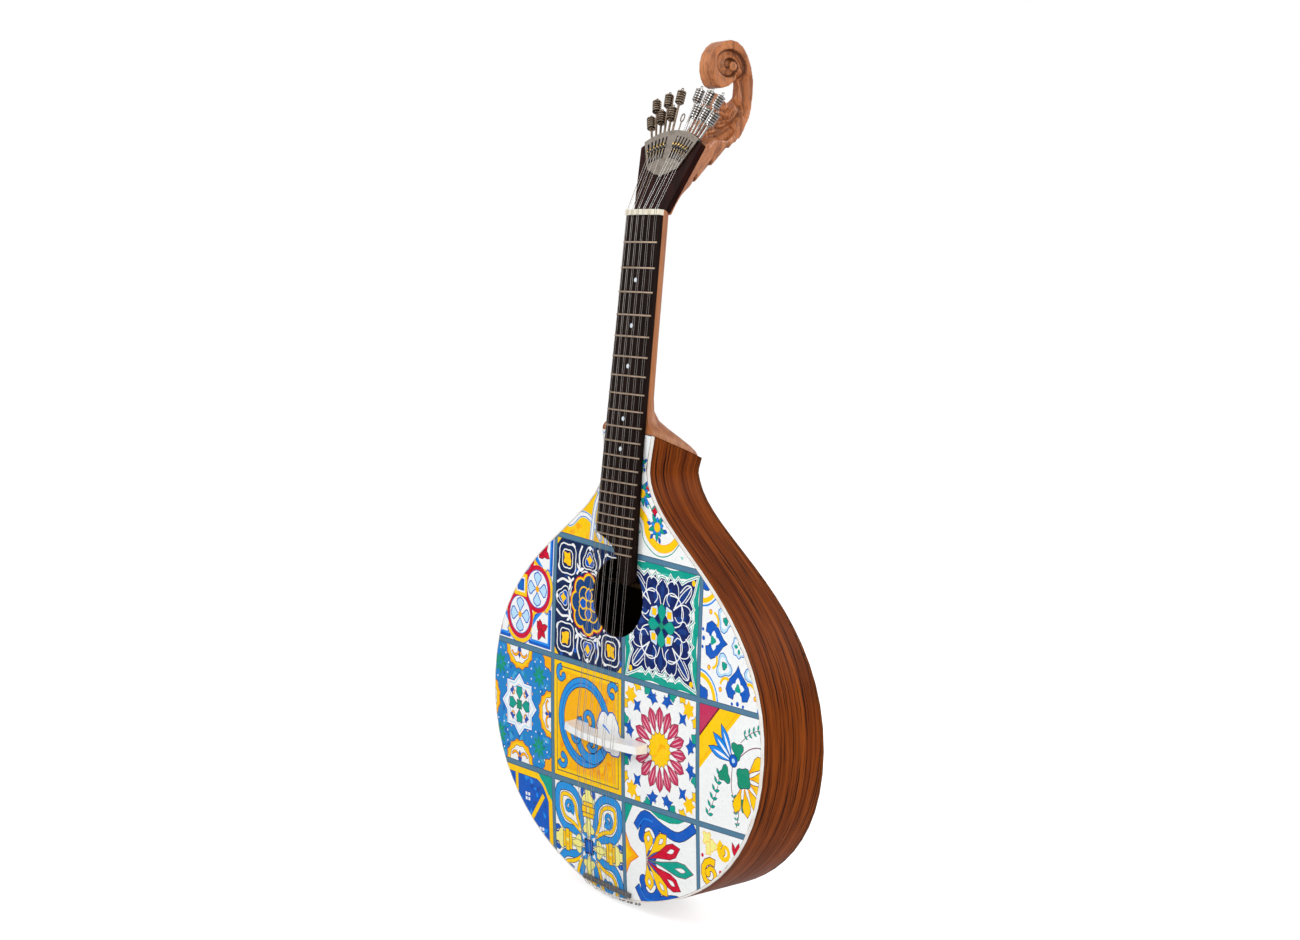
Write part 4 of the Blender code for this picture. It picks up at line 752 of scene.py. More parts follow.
def palmette_tile():
    spade = under(patch(COBALT, [(0, -0.3), (0.06, -0.4), (0.24, -0.56), (0.3, -0.7), (0.24, -0.82),
                                 (0.12, -0.84), (0.1, -0.76), (0, -0.7), (-0.1, -0.76),
                                 (-0.12, -0.84), (-0.24, -0.82), (-0.3, -0.7), (-0.24, -0.56),
                                 (-0.06, -0.4)]), NAVY, 0.01)
    spade += (disc(WHITE, 0.125, 0, -0.64, 4, 0.3, 16, start=90)
              + disc(TEAL, 0.07, 0, -0.66, 3, 0.25, 12, start=90))
    spade += disc(COBALT, 0.04, 0, -0.9, sides=8) + both(disc(COBALT, 0.03, 0.14, -0.92, sides=8))
    tulip = edged(disc(SKY, 0.17, 0, 0.52, 3, 0.25, 18, start=90), DUSK, 0.016)
    tulip += disc(WHITE, 0.125, 0, 0.52, 3, 0.25, 18, start=90)
    tulip += edged(disc(TEAL, 0.06, 0, 0.5, 3, 0.2, 10), NAVY, 0.008)
    corner = arc(AZURE, 0.5, 180, 270, 0.03, 1, 1) + arc(YELLOW, 0.42, 180, 270, 0.08, 1, 1)
    corner += edged(disc(COBALT, 0.2, 0.95, 0.95, 5, 0.12), NAVY, 0.012)
    corner += (arc(YELLOW, 0.14, 100, 210, 0.05, 0.68, 0.3)
               + arc(YELLOW, 0.14, -120, -10, 0.05, 0.3, 0.68))
    corner += edged(disc(YELLOW, 0.035, 0.44, 0.74, sides=6)
                    + disc(YELLOW, 0.035, 0.74, 0.44, sides=6), CRIMSON, 0.01)
    middle = edged(disc(SKY, 0.16, lobes=8, depth=0.1, sides=32), COBALT, 0.014)
    middle += disc(WHITE, 0.13, lobes=8, depth=0.1, sides=32)
    middle += around(petal(TEAL, 0.02, 0.13, 0.07), 4) + disc(WHITE, 0.03, sides=8)
    return WHITE, around(spade, 4) + around(put(tulip, turn=45), 4) + around(corner, 4) + middle


def rosette_tile():
    ground = dabs((paint(70, 164, 214), paint(26, 104, 176), paint(30, 140, 172)), 170, 0.055, 7)
    medal = under(disc(ORANGE, 0.4, 0, 1.0, 14, 0.05, 42), WINE, 0.012)
    medal += (disc(YELLOW, 0.36, 0, 1.0, sides=24)
              + edged(disc(WHITE, 0.3, 0, 1.0, 10, 0.04, 40), WINE, 0.01))
    medal += edged(petal(COBALT, 0.78, 1.0, 0.1)
                   + both(arc(ORANGE, 0.11, 200, 330, 0.035, 0.13, 0.92)), WINE, 0.008)
    flower = (around(petal(GREEN, 0.03, 0.2, 0.06), 8)
              + around(petal(TEAL, 0.02, 0.13, 0.03), 8, 22.5))
    dots = [shape for a in range(0, 360, 40) for shape in
            disc(WHITE, 0.017, 0.25 * cos(radians(a)), 0.25 * sin(radians(a)), sides=6)]
    corner = under(disc(ORANGE, 0.26, 0.98, 0.98, 8, 0.1, 32), WINE, 0.012)
    gold = arc(ORANGE, 0.44, 30, 60, 0.08)
    rose = under(star(WHITE, 8, 0.52, 0.4), COBALT, 0.018) + star(SKY, 8, 0.48, 0.37)
    rose += (star(WHITE, 8, 0.455, 0.345)
             + edged(disc(WHITE, 0.31, lobes=8, depth=0.06, sides=32), AZURE, 0.01))
    block = edged(patch(TEAL, [(0, 0.09), (0.09, 0.2), (0.07, 0.29), (-0.07, 0.29), (-0.09, 0.2)]),
                  NAVY, 0.012)
    chip = edged(patch(COBALT, [(0.14, 0.2), (0.26, 0.2), (0.2, 0.28)])
                 + patch(ORANGE, [(0.14, 0.16), (0.2, 0.13), (0.24, 0.17)]), WINE, 0.006)
    rose += around(block, 4) + around(chip + put(chip, flip=-1), 4)
    rose += edged(box(GREEN, 0.07, 0.07), NAVY, 0.008)
    return paint(34, 130, 200), (ground + around(put(flower + dots, 0.6, 0.58), 4)
                                 + around(medal, 4) + around(corner, 4) + around(gold, 4) + rose)


def ring_tile():
    ground = squares((YELLOW, 0.95), (NAVY, 0.875), (YELLOW, 0.86), (GOLD, 0.8))
    ground += dabs((paint(255, 200, 16), paint(246, 156, 4)), 70, 0.07, 3, 0.74)
    rings = ((NAVY, 0.745), (RIVER, 0.73), (COBALT, 0.655), (RIVER, 0.64), (NAVY, 0.59),
             (GOLD, 0.575))
    ring = [shape for colour, radius in rings
            for shape in disc(colour, radius, -0.08, 0.05, sides=40)]
    stem = [(0.42, -0.36), (0.2, -0.5), (-0.1, -0.46), (-0.28, -0.2), (-0.2, 0.1)]
    leaf = under(band(RIVER, stem, 0.17, (1, 0.7)), NAVY, 0.014)
    leaf += curls(RIVER, NAVY, (0.24, 1.1, 0.1, 0.02, 0.12, 180),
                  (0.17, 1.0, 0.085, -0.3, -0.2, 60), (0.15, 1.0, 0.08, 0.16, -0.24, 200))
    lobes = [(0.0, 0.1, 0.15), (0.14, 0.2, 0.14), (0.27, 0.09, 0.14), (0.2, -0.05, 0.13),
             (0.34, -0.04, 0.1)]
    white = [part for x, y, r in lobes for part in disc(WHITE, r, x, y, 3, 0.14, 16)]
    leaf += put(under(white, COBALT, 0.018), 0.42, 0.02, -28, 1.25)
    leaf += put(band(AZURE, [(-0.02, 0.08), (0.12, 0.08), (0.3, 0.02)], 0.035, (1, 0.2)), 0.42,
                0.02, -28, 1.25)
    tails = curls(RIVER, NAVY, (0.13, 0.7, 0.09, -0.74, 0.74, 90, 0.5),
                  (0.13, 0.7, 0.09, -0.7, -0.66, 200, 0.5), (0.14, 0.7, 0.09, 0.7, 0.7, 20, 0.5))
    return YELLOW, ground + ring + leaf + tails


def sun_tile():
    ray = under(petal(ROSE, 0.27, 0.69, 0.19, 0.64), WINE, 0.012)
    ray += petal(BLUSH, 0.36, 0.64, 0.022) + both(put(petal(BLUSH, 0.38, 0.62, 0.016), 0.03, 0, -4))
    gap = put(petal(WHITE, 0.25, 0.5, 0.05), turn=11.25)
    sun = around(ray, 16) + around(gap, 16) + edged(star(YELLOW, 16, 0.3, 0.25), WINE, 0.01)
    sun += dabs((YELLOW, paint(255, 180, 4)), 16, 0.05, 5, 0.14)
    chips = around(put(edged(star(COBALT, 4, 0.13, 0.055), NAVY, 0.006), 0, 0.86), 12, 15)
    chips += around(put(edged(star(COBALT, 4, 0.11, 0.05), NAVY, 0.006), 0.16, 0.8, 20), 4)
    chips += around(put(edged(star(COBALT, 4, 0.11, 0.05), NAVY, 0.006), -0.16, 0.8, -20), 4)
    corner = edged(star(YELLOW, 6, 0.15, 0.09, 0.76, 0.78), ORANGE, 0.008)
    corner += edged(star(YELLOW, 5, 0.11, 0.07, 0.95, 0.6) + star(YELLOW, 5, 0.11, 0.07, 0.6, 0.95)
                    + disc(TEAL, 0.11, 0.95, 0.32, 5, 0.2) + disc(TEAL, 0.11, 0.32, 0.96, 5, 0.2),
                    NAVY, 0.008)
    return WHITE, around(corner, 4) + chips + sun


def bouquet_tile():
    sash = patch(YELLOW, [(-0.95, 0.95), (0.1, 0.95), (-0.95, -0.1)])
    sash += patch(WINE, [(-0.95, 0.95), (-0.44, 0.95), (-0.95, 0.42)])
    sash += patch(ROSE, [(-0.95, 0.95), (-0.48, 0.95), (-0.95, 0.46)])
    sash += band(ORANGE, [(0.0, 0.94), (-0.95, -0.02)], 0.02)
    stems = band(WINE, [(-0.1, 0.12), (0.3, 0.42), (0.62, 0.5), (0.9, 0.42)], 0.016)
    stems += band(WINE, [(-0.1, 0.12), (-0.12, -0.3), (0.06, -0.6), (0.0, -0.88)], 0.016)
    stems += band(WINE, [(-0.7, -0.75), (-0.5, -0.4), (-0.42, -0.05)], 0.012)
    stems += band(WINE, [(0.1, 0.5), (0.4, 0.72), (0.9, 0.86)], 0.012)
    stems += band(WINE, [(0.3, -0.86), (0.6, -0.78), (0.92, -0.84)], 0.012)
    sprig = [part for i in range(6) for part in
             both(put(edged(petal(TEAL, 0, 0.12, 0.05), NAVY, 0.006), 0.0, -0.42 + 0.15 * i, -55))]
    stems += (put(sprig, -0.56, -0.42, -22) + put(sprig, 0.5, 0.76, -68, 0.8)
              + put(sprig, 0.62, -0.8, -84, 0.6))
    stems += put(sprig, -0.02, -0.6, 12, 0.6) + put(sprig, 0.78, 0.46, 70, 0.5)
    leaf = edged(disc(GREEN, 0.13, lobes=3, depth=0.3, sides=18), NAVY, 0.01)
    leaves = put(leaf, 0.02, 0.36, 30) + put(leaf, -0.3, -0.08, 80) + put(leaf, 0.2, -0.5, 10, 0.7)
    ray = edged(petal(YELLOW, 0.08, 0.62, 0.2, 0.74), WINE, 0.012) + petal(ORANGE, 0.12, 0.4, 0.04)
    fan = fanned(ray, -75, -45, -15, 15, 45, 75)
    cup = edged(disc(GREEN, 0.17, lobes=4, depth=0.15, sides=20), NAVY, 0.012)
    flower = put(fan + cup, 0.18, -0.06, -125)
    plume = edged(petal(AZURE, 0, 0.62, 0.16, 0.6), NAVY, 0.012) + petal(WHITE, 0.08, 0.5, 0.05)
    plume = fanned(plume, -24, 0, 24)
    bud = (edged(disc(COBALT, 0.1, -0.08, 0.18, sides=12), NAVY, 0.01)
           + disc(SKY, 0.04, -0.08, 0.18, sides=8))
    return WHITE, sash + stems + leaves + put(plume, -0.1, 0.16, 52) + flower + bud


def lattice_tile():
    ground = dabs((COBALT, AZURE, paint(24, 74, 160)), 90, 0.07, 9)
    bands = box(YELLOW, 0.95, 0.055, 0, 0.9) + box(YELLOW, 0.055, 0.95, 0.9, 0)
    bands += patch(TEAL, [(0.55, 0.95), (0.95, 0.95), (0.95, 0.55)])
    bands += band(YELLOW, [(0.5, 0.88), (0.7, 0.78), (0.88, 0.52)], 0.06)
    bands += (band(YELLOW, [(-0.1, 0.9), (-0.1, -0.9)], 0.08)
              + band(YELLOW, [(0.7, 0.6), (0.05, -0.2)], 0.085))
    bands += band(ORANGE, [(0.9, -0.25), (0.3, -0.3), (-0.4, -0.22)], 0.1)
    places = ((0.22, 0.5), (0.62, -0.02), (-0.36, 0.5), (-0.34, 0.05), (0.18, -0.6))
    crosses = [part for x, y in places for a, b in CORNERS
               for part in box(WHITE, 0.027, 0.027, x + a * 0.04, y + b * 0.04)]
    return COBALT, ground + under(bands, NAVY, 0.008) + crosses


def strap_tile():
    loop = [(0.1, 0.12), (0.2, 0.4), (0.24, 0.7), (0.46, 0.88), (0.76, 0.88), (0.88, 0.76),
            (0.88, 0.46), (0.7, 0.24), (0.4, 0.2), (0.12, 0.1)]
    inner = [(0.2, 0.2), (0.32, 0.44), (0.38, 0.66), (0.54, 0.76), (0.7, 0.76), (0.76, 0.7),
             (0.76, 0.54), (0.66, 0.38), (0.44, 0.32), (0.2, 0.2)]
    strap = (under(band(RIVER, loop, 0.12), NAVY, 0.014)
             + under(band(YELLOW, inner, 0.06), NAVY, 0.01))
    strap += under(curl(RIVER, 0.13, 1.1, 0.075, 0.56, 0.56, 225, 0.3), NAVY, 0.012)
    fleur = edged(disc(PALE, 0.13, 0, 0.34, 3, 0.4, 18, start=90) + petal(PALE, 0.14, 0.5, 0.12),
                  NAVY, 0.01)
    fleur += edged(disc(PALE, 0.14, 0, 0.84, 3, 0.4, 18, start=90), NAVY, 0.01)
    clasp = edged(box(YELLOW, 0.15, 0.035, 0, 0.53) + box(YELLOW, 0.18, 0.05, 0, 0.62)
                  + box(YELLOW, 0.13, 0.03, 0, 0.71), NAVY, 0.012)
    clasp += both(box(ORANGE, 0.012, 0.045, 0.07, 0.62)) + box(PALE, 0.02, 0.04, 0, 0.62)
    side = both(under(curl(COBALT, 0.1, 0.8, 0.07, 0.14, 0.9, 120, 0.3), NAVY, 0.01))
    middle = squares((NAVY, 0.125), (COBALT, 0.1)) + box(DUSK, 0.05, 0.06)
    return WHITE, around(side, 4) + around(strap, 4) + around(fleur + clasp, 4) + middle


def plume_tile():
    arm = band(COBALT, [(-0.66, 0.5), (-0.4, 0.74), (0.05, 0.6), (0.5, 0.54), (0.92, 0.78)], 0.14,
               (0.9, 1.1))
    scroll = under(arm + curl(COBALT, 0.35, 0.78, 0.17, -0.34, 0.4, -92, 0.42), NAVY, 0.014)
    scroll += band(AZURE, [(-0.62, 0.46), (-0.44, 0.66), (-0.2, 0.66)], 0.05, (0.3, 0.4))
    scroll += disc(AZURE, 0.06, -0.16, 0.34, sides=10)
    drops = []
    for turn, colour, length in ((78, YELLOW, 0.5), (-78, YELLOW, 0.5), (-42, YELLOW, 0.76),
                                 (42, YELLOW, 0.76), (-21, CRIMSON, 0.98), (21, CRIMSON, 0.98),
                                 (0, TEAL, 1.26)):
        drop = edged(petal(colour, 0, length, 0.25, 0.74), WINE, 0.012)
        drop += edged(petal(WHITE, length * 0.62, length * 0.84, 0.075, 0.6), WINE, 0.008)
        drops += put(drop, turn=turn - 90)
    flower = edged(star(ORANGE, 4, 0.34, 0.18), CRIMSON, 0.012) + star(YELLOW, 4, 0.2, 0.1)
    shapes = scroll + put(scroll, turn=180, flip=-1) + put(flower, -0.96) + put(drops, -0.4)
    lens = under(patch(TEAL, [(-0.25, 0.95), (-0.05, 0.88), (0.25, 0.85), (0.5, 0.89),
                              (0.65, 0.95)]), GREEN, 0.01)
    corner = patch(TEAL, [(-0.95, 0.95), (-0.95, 0.6), (-0.74, 0.95)])
    return WHITE, corner + lens + put(shapes, 0, 0.12)


def scroll_tile():
    roll = curls(YELLOW, WINE, (0.17, 1.2, 0.1, -0.3, 0.66, 120),
                 (0.23, 1.3, 0.11, -0.68, 0.22, 60))
    roll += under(band(YELLOW, [(-0.9, -0.2), (-0.6, -0.5), (-0.1, -0.4), (0.2, -0.1)], 0.09,
                       (1, 0.3)), WINE, 0.012)
    vase = edged(disc(PALE, 0.1, -0.76, 0.8, 4, 0.3, 20, start=45)
                 + box(PALE, 0.06, 0.1, -0.72, 0.64) + disc(PALE, 0.09, -0.6, 0.7, 3, 0.3, 15),
                 ORANGE, 0.01)
    tulip = edged(petal(CRIMSON, 0, 0.26, 0.1) + fanned(petal(CRIMSON, 0, 0.24, 0.08), 40, -40),
                  WINE, 0.01)
    leaf = edged(petal(COBALT, 0, 0.3, 0.1), NAVY, 0.01) + petal(SKY, 0.06, 0.22, 0.03)
    spots = [part for x, y in ((-0.88, 0.5), (-0.42, 0.3), (-0.5, -0.14), (-0.2, 0.24))
             for part in disc(CRIMSON, 0.035, x, y, sides=8)]
    return WHITE, (roll + vase + put(tulip, -0.02, 0.62, -20) + put(leaf, -0.1, 0.3, -60)
                   + put(leaf, 0.3, 0.2, -20) + put(tulip, 0.2, -0.6, 200) + spots)


def ribbon_tile():
    ground = dabs((ORANGE, paint(255, 190, 20)), 70, 0.09, 11)
    ground += patch(WHITE, [(-0.95, 0.95), (-0.02, 0.95), (-0.09, 0.53), (-0.32, 0.33),
                            (-0.6, 0.35), (-0.95, 0.16)])
    ground += (put(petal(SKY, 0, 0.4, 0.12), -0.5, 0.4, -30)
               + put(petal(AZURE, 0, 0.3, 0.06), -0.2, 0.5, 20))
    ribbons = []
    for path in ([(-0.95, -0.62), (-0.62, -0.78), (-0.3, -0.58), (0.0, -0.62), (0.3, -0.9)],
                 [(-0.95, 0.12), (-0.6, 0.3), (-0.3, 0.24), (-0.02, 0.5), (0.06, 0.95)],
                 [(0.14, 0.95), (0.0, 0.5), (0.08, 0.05), (0.34, -0.4), (0.46, -0.95)],
                 [(0.3, 0.95), (0.44, 0.5), (0.38, 0.05), (0.12, -0.35), (0.02, -0.95)],
                 [(0.56, 0.95), (0.2, 0.62), (0.22, 0.1), (0.5, -0.2), (0.6, -0.95)],
                 [(0.95, 0.5), (0.72, 0.2), (0.74, -0.3), (0.95, -0.6)]):
        ribbons += under(under(band(WHITE, path, 0.06), COBALT, 0.012), SKY, 0.014)
    return YELLOW, ground + ribbons


def garland_tile():
    bend = [(-0.84, -0.16), (-0.64, -0.28), (-0.5, -0.4), (-0.42, -0.62), (-0.12, -0.78),
            (0.2, -0.7), (0.46, -0.4)]
    sweep = under(band(YELLOW, bend, 0.11), ORANGE, 0.012)
    sweep += band(TEAL, [(x * 1.16 - 0.03, y * 1.1 - 0.05) for x, y in bend], 0.018)
    bloom = around(edged(petal(AZURE, 0.05, 0.2, 0.1), NAVY, 0.01), 5)
    bloom += around(edged(petal(TEAL, 0.06, 0.28, 0.09), NAVY, 0.01), 5, 36)
    bloom += edged(disc(YELLOW, 0.085, sides=12), ORANGE, 0.014)
    buds = around(edged(petal(COBALT, 0.2, 0.33, 0.07), NAVY, 0.008), 6, 20)
    pink = edged(disc(CRIMSON, 0.05, lobes=4, depth=0.3, sides=16), WINE, 0.008)
    twig = band(GREEN, [(-0.18, -0.5), (-0.36, -0.2), (-0.58, 0.06), (-0.72, 0.44)], 0.02)
    twig += put(edged(petal(TEAL, 0, 0.18, 0.08), NAVY, 0.008), -0.36, -0.22, -60)
    twig += put(edged(petal(AZURE, 0, 0.16, 0.07), NAVY, 0.008), -0.44, -0.14, 50)
    return WHITE, (dabs((paint(140, 212, 200), TEAL), 30, 0.04, 21) + twig + sweep
                   + put(bloom + buds, -0.2, -0.46, 0, 0.8) + put(pink, -0.28, -0.22)
                   + put(pink, -0.5, 0.1) + put(bloom + buds, -0.6, 0.02, 10, 0.72)
                   + put(bloom + buds, -0.68, 0.5, 30, 0.6) + put(bloom + buds, 0.3, 0.2, 15, 0.8))


TILES = {(0, 0): ribbon_tile, (1, 0): ribbon_tile, (2, 0): garland_tile, (3, 0): garland_tile,
         (0, 1): wheel_tile, (1, 1): rose_tile, (2, 1): arabesque_tile, (3, 1): palmette_tile,
         (0, 2): rosette_tile, (1, 2): ring_tile, (2, 2): sun_tile, (3, 2): bouquet_tile,
         (0, 3): lattice_tile, (1, 3): strap_tile, (2, 3): plume_tile, (3, 3): scroll_tile}
# Where four crossings of the grout lie on the board, in millimetres, from column and row 1 to 3
CROSSINGS = ((-101.7, 331.1), (111.0, 323.9), (122.0, 103.1), (-88.9, 93.9))


def grid_point(column, row):
    """The place (x, z) on the board of a point of the tile grid."""
    (x0, z0), (x1, z1), (x2, z2), (x3, z3) = CROSSINGS
    u, v = (column - 1) / 2, (row - 1) / 2
    sum_x, sum_z = x0 - x1 + x2 - x3, z0 - z1 + z2 - z3
    below = (x1 - x2) * (z3 - z2) - (x3 - x2) * (z1 - z2)
    g = (sum_x * (z3 - z2) - (x3 - x2) * sum_z) / below
    h = ((x1 - x2) * sum_z - sum_x * (z1 - z2)) / below
    depth = g * u + h * v + 1
    return (((x1 - x0 + g * x1) * u + (x3 - x0 + h * x3) * v + x0) / depth,
            ((z1 - z0 + g * z1) * u + (z3 - z0 + h * z3) * v + z0) / depth)


def tile_point(tile, x, y):
    return grid_point(tile[0] + (x + 1) / 2, tile[1] + (1 - y) / 2)


# ---------------------------------------------------------------- The soundboard

DOME_STEPS = 1440                          # directions in which the board's reach is stored
DOME_GRID = 12.0                           # millimetres between the points that bend the board
BARE_BOARD = (0.6, 0.42, 0.2)


def dome_reaches(outline):
    """How far the board's edge is from the dome's middle, for each direction."""
    ends = sorted((atan2(z - DOME_CENTRE_Z, x), hypot(x, z - DOME_CENTRE_Z)) for x, z in outline)
    ends = [(ends[-1][0] - 2 * pi, ends[-1][1])] + ends + [(ends[0][0] + 2 * pi, ends[0][1])]
    reaches, at = [], 0
    for i in range(DOME_STEPS + 1):
        angle = -pi + 2 * pi * i / DOME_STEPS
        while at < len(ends) - 2 and ends[at + 1][0] < angle:
            at += 1
        (low, a), (high, b) = ends[at], ends[at + 1]
        reaches.append(lerp(a, b, (angle - low) / max(high - low, 1e-9)))
    return reaches


def dome_y(reaches, x, z):
    """The dome's height at a point; it falls off to nothing at the board's edge."""
    place = (atan2(z - DOME_CENTRE_Z, x) + pi) / (2 * pi) * DOME_STEPS
    low = min(int(place), DOME_STEPS - 1)
    reach = lerp(reaches[low], reaches[low + 1], place - low)
    share = min(1.0, hypot(x, z - DOME_CENTRE_Z) / reach)
    return -DOME_RISE * (1 - share * share)


def grid_dots(step):
    return [(x * step + 0.37, z * step + 0.21) for x in range(-17, 18) for z in range(0, 38)]


def counter_clockwise(points):
    area = sum(x0 * z1 - x1 * z0 for (x0, z0), (x1, z1) in zip(points, points[1:] + points[:1]))
    return points if area > 0 else points[::-1]


def cut_plane(outlines, dots):
    """Triangles of the plane cut along all the outlines, and which of them hold each triangle."""
    corners, faces = [], []
    for outline in outlines:
        outline = counter_clockwise(outline)
        faces.append(list(range(len(corners), len(corners) + len(outline))))
        corners += outline
    corners += dots
    points, _, triangles, _, _, holders = delaunay_2d_cdt([Vector(c) for c in corners], [], faces,
                                                          1, 1e-4)
    return points, triangles, holders


def painted_outlines(board, hole):
    """Every painted shape in board millimetres: (colour, points, which shape clips it)."""
    shapes = [(GROUT, board, 0), (GROUT, hole, 0)]
    for tile, design in TILES.items():
        ground, motifs = design()
        clip = len(shapes) + 1
        for colour, size in ((GROUT_LINE, EDGE + 0.012), (ground, EDGE)):
            shapes.append((colour, [tile_point(tile, a * size, b * size) for a, b in CORNERS], 0))
        shapes += [(colour, [tile_point(tile, x, y) for x, y in points], clip)
                   for colour, points in motifs]
    return shapes


def boundary_loops(triangles):
    """The closed lines of corners that border the triangles: the outer edge and the hole."""
    ways = {(t[i], t[(i + 1) % 3]) for t in triangles for i in range(3)}
    follow = {a: b for a, b in ways if (b, a) not in ways}
    loops = []
    while follow:
        start, after = follow.popitem()
        loop = [start]
        while after != start:
            loop.append(after)
            after = follow.pop(after)
        loops.append(loop)
    return loops


def painted_front(board, hole):
    """The board's face: its points, its triangles, and the colour that lies topmost on each."""
    shapes = painted_outlines(board, hole)
    points, triangles, holders = cut_plane([outline for _, outline, _ in shapes],
                                           grid_dots(DOME_GRID))
    front, colours = [], []
    for triangle, ids in zip(triangles, holders):
        held = set(ids)
        if 0 in held and 1 not in held:
            top = max(i for i in held if shapes[i][2] == 0 or shapes[i][2] in held)
            front.append(tuple(triangle))
            colours.append(shapes[top][0])
    used = sorted({i for t in front for i in t})
    number = {old: new for new, old in enumerate(used)}
    return [tuple(points[i]) for i in used], [tuple(number[i] for i in t) for t in front], colours


def thickened(reaches, flat, front):
    """The whole board's corners and faces: its face first, then its edges and its rear side."""
    verts = [(x * MM, dome_y(reaches, x, z) * MM, z * MM) for x, z in flat]
    loops = boundary_loops(front)
    rear_of, faces = {}, list(front)
    for loop in loops:
        for i in loop:
            rear_of[i] = len(verts)
            x, y, z = verts[i]
            verts.append((x, y + BOARD_THICK * MM, z))
        faces += [(b, a, rear_of[a], rear_of[b]) for a, b in zip(loop, loop[1:] + loop[:1])]
    rings = sorted(loops, key=lambda ring: -max(abs(flat[i][0]) for i in ring))
    rear, triangles, holders = cut_plane([[flat[i] for i in ring] for ring in rings],
                                         grid_dots(DOME_GRID))
    near = {(round(flat[i][0], 2), round(flat[i][1], 2)): rear_of[i] for i in rear_of}
    kept = [t for t, ids in zip(triangles, holders) if 0 in ids and 1 not in ids]
    names = {}
    for i in sorted({i for t in kept for i in t}):
        x, z = rear[i]
        names[i] = near.get((round(x, 2), round(z, 2)), len(verts))
        if names[i] == len(verts):
            verts.append((x * MM, (dome_y(reaches, x, z) + BOARD_THICK) * MM, z * MM))
    return verts, faces + [tuple(names[i] for i in reversed(t)) for t in kept]


def dome_normal(reaches, x, z):
    slope = Vector((dome_y(reaches, x + 0.5, z) - dome_y(reaches, x - 0.5, z), -1.0,
                    dome_y(reaches, x, z + 0.5) - dome_y(reaches, x, z - 0.5)))
    return slope.normalized()


def make_soundboard():
    """The domed board with its tiles cut into the mesh, shaded as the smooth dome that it is."""
    board = full_outline(BOARD_INSET)
    reaches = dome_reaches(board)
    flat, front, colours = painted_front(board, circle(SOUNDHOLE_RADIUS, 72, 0.0, SOUNDHOLE_Z))
    verts, faces = thickened(reaches, flat, front)
    mesh = bpy.data.meshes.new("painted_soundboard")
    mesh.from_pydata(verts, [], faces)
    piece = link("painted_soundboard", mesh, [PAINTED_TILE, SHADED_INNER_WOOD])
    mesh.polygons.foreach_set("material_index",
                              [0] * len(front) + [1] * (len(faces) - len(front)))
    unpainted = len(mesh.loops) - 3 * len(front)
    layer = mesh.attributes.new("paint", "FLOAT_COLOR", "CORNER")
    layer.data.foreach_set("color", [c for colour in colours for _ in range(3)
                                     for c in (*colour, 1.0)] + [*BARE_BOARD, 1.0] * unpainted)
    shade(mesh, 30)
    lean = [dome_normal(reaches, x, z) for x, z in flat]
    mesh.normals_split_custom_set([lean[i] for t in front for i in t]
                                  + [Vector((0, 0, 0))] * unpainted)
    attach(piece, "guitar_body")
    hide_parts("soundboard")


# ---------------------------------------------------------------- Places on the neck and head

HEAD_ORIGIN = Vector((0, 14.61, 636.09))
FAN_CENTRE_V = 10.0
FIRST_SCREW, SCREW_STEP = radians(6.5), radians(4.1)
NUT_LENGTH, NUT_RISE, SLOT_DEPTH = 5.0, 1.6, 1.0
STRING_RADII = (0.27, 0.16, 0.23, 0.15, 0.2, 0.14, 0.16, 0.16, 0.13, 0.13, 0.11, 0.11)
WOUND_STRINGS = (0, 2, 4)
NUT_SPREAD, BRIDGE_SPREAD, TAIL_SPREAD = (7.9, 2.2), (10.6, 2.8), (11.6, 4.6)   # courses, pairs
GAP, STRING_OVER_LAST_FRET, PIN_Y = 0.3, 0.8, 12.0
BRIDGE_Z, BRIDGE_HALF, TAIL_BAR_Z, TAIL_BAR_HALF = 154.0, 3.5, 9.5, 1.3    # where a string bends


def neck_point(x, down, rise):
    return Vector((x, -BOARD_HEIGHT + sin(NECK_LEAN) * (NUT_TO_BODY - down) - cos(NECK_LEAN) * rise,
                   BODY_LENGTH + cos(NECK_LEAN) * (NUT_TO_BODY - down) + sin(NECK_LEAN) * rise))


def neck_place(point):
    """How far down the neck and how far above the board's crown a point in millimetres is."""
    y, z = point.y + BOARD_HEIGHT, point.z - BODY_LENGTH
    return (NUT_TO_BODY - y * sin(NECK_LEAN) - z * cos(NECK_LEAN),
            z * sin(NECK_LEAN) - y * cos(NECK_LEAN))


def head_point(u, v, n):
    return HEAD_ORIGIN + Vector((u, sin(HEAD_LEAN) * v - cos(HEAD_LEAN) * n,
                                 cos(HEAD_LEAN) * v + sin(HEAD_LEAN) * n))


def fan_point(angle, radius, n):
    return head_point(radius * sin(angle), FAN_CENTRE_V + radius * cos(angle), n)


def camber(x):
    return BOARD_RADIUS - sqrt(BOARD_RADIUS ** 2 - x * x)


def fret_at(number):
    return SCALE * (1 - 2 ** (-number / 12))


def screw_angle(number):
    """Screws 0 to 11 from the bass side; six on each side of the fan's middle."""
    step = 5 - number if number < 6 else number - 6
    return (-1 if number < 6 else 1) * (FIRST_SCREW + SCREW_STEP * step)


def knob_at(number):
    step = 5 - number if number < 6 else number - 6
    return LONG_KNOB_AT if step % 2 == 0 else SHORT_KNOB_AT


def course_x(number, step, pair):
    course, second = divmod(number, 2)
    return (course - 2.5) * step + (second - 0.5) * pair


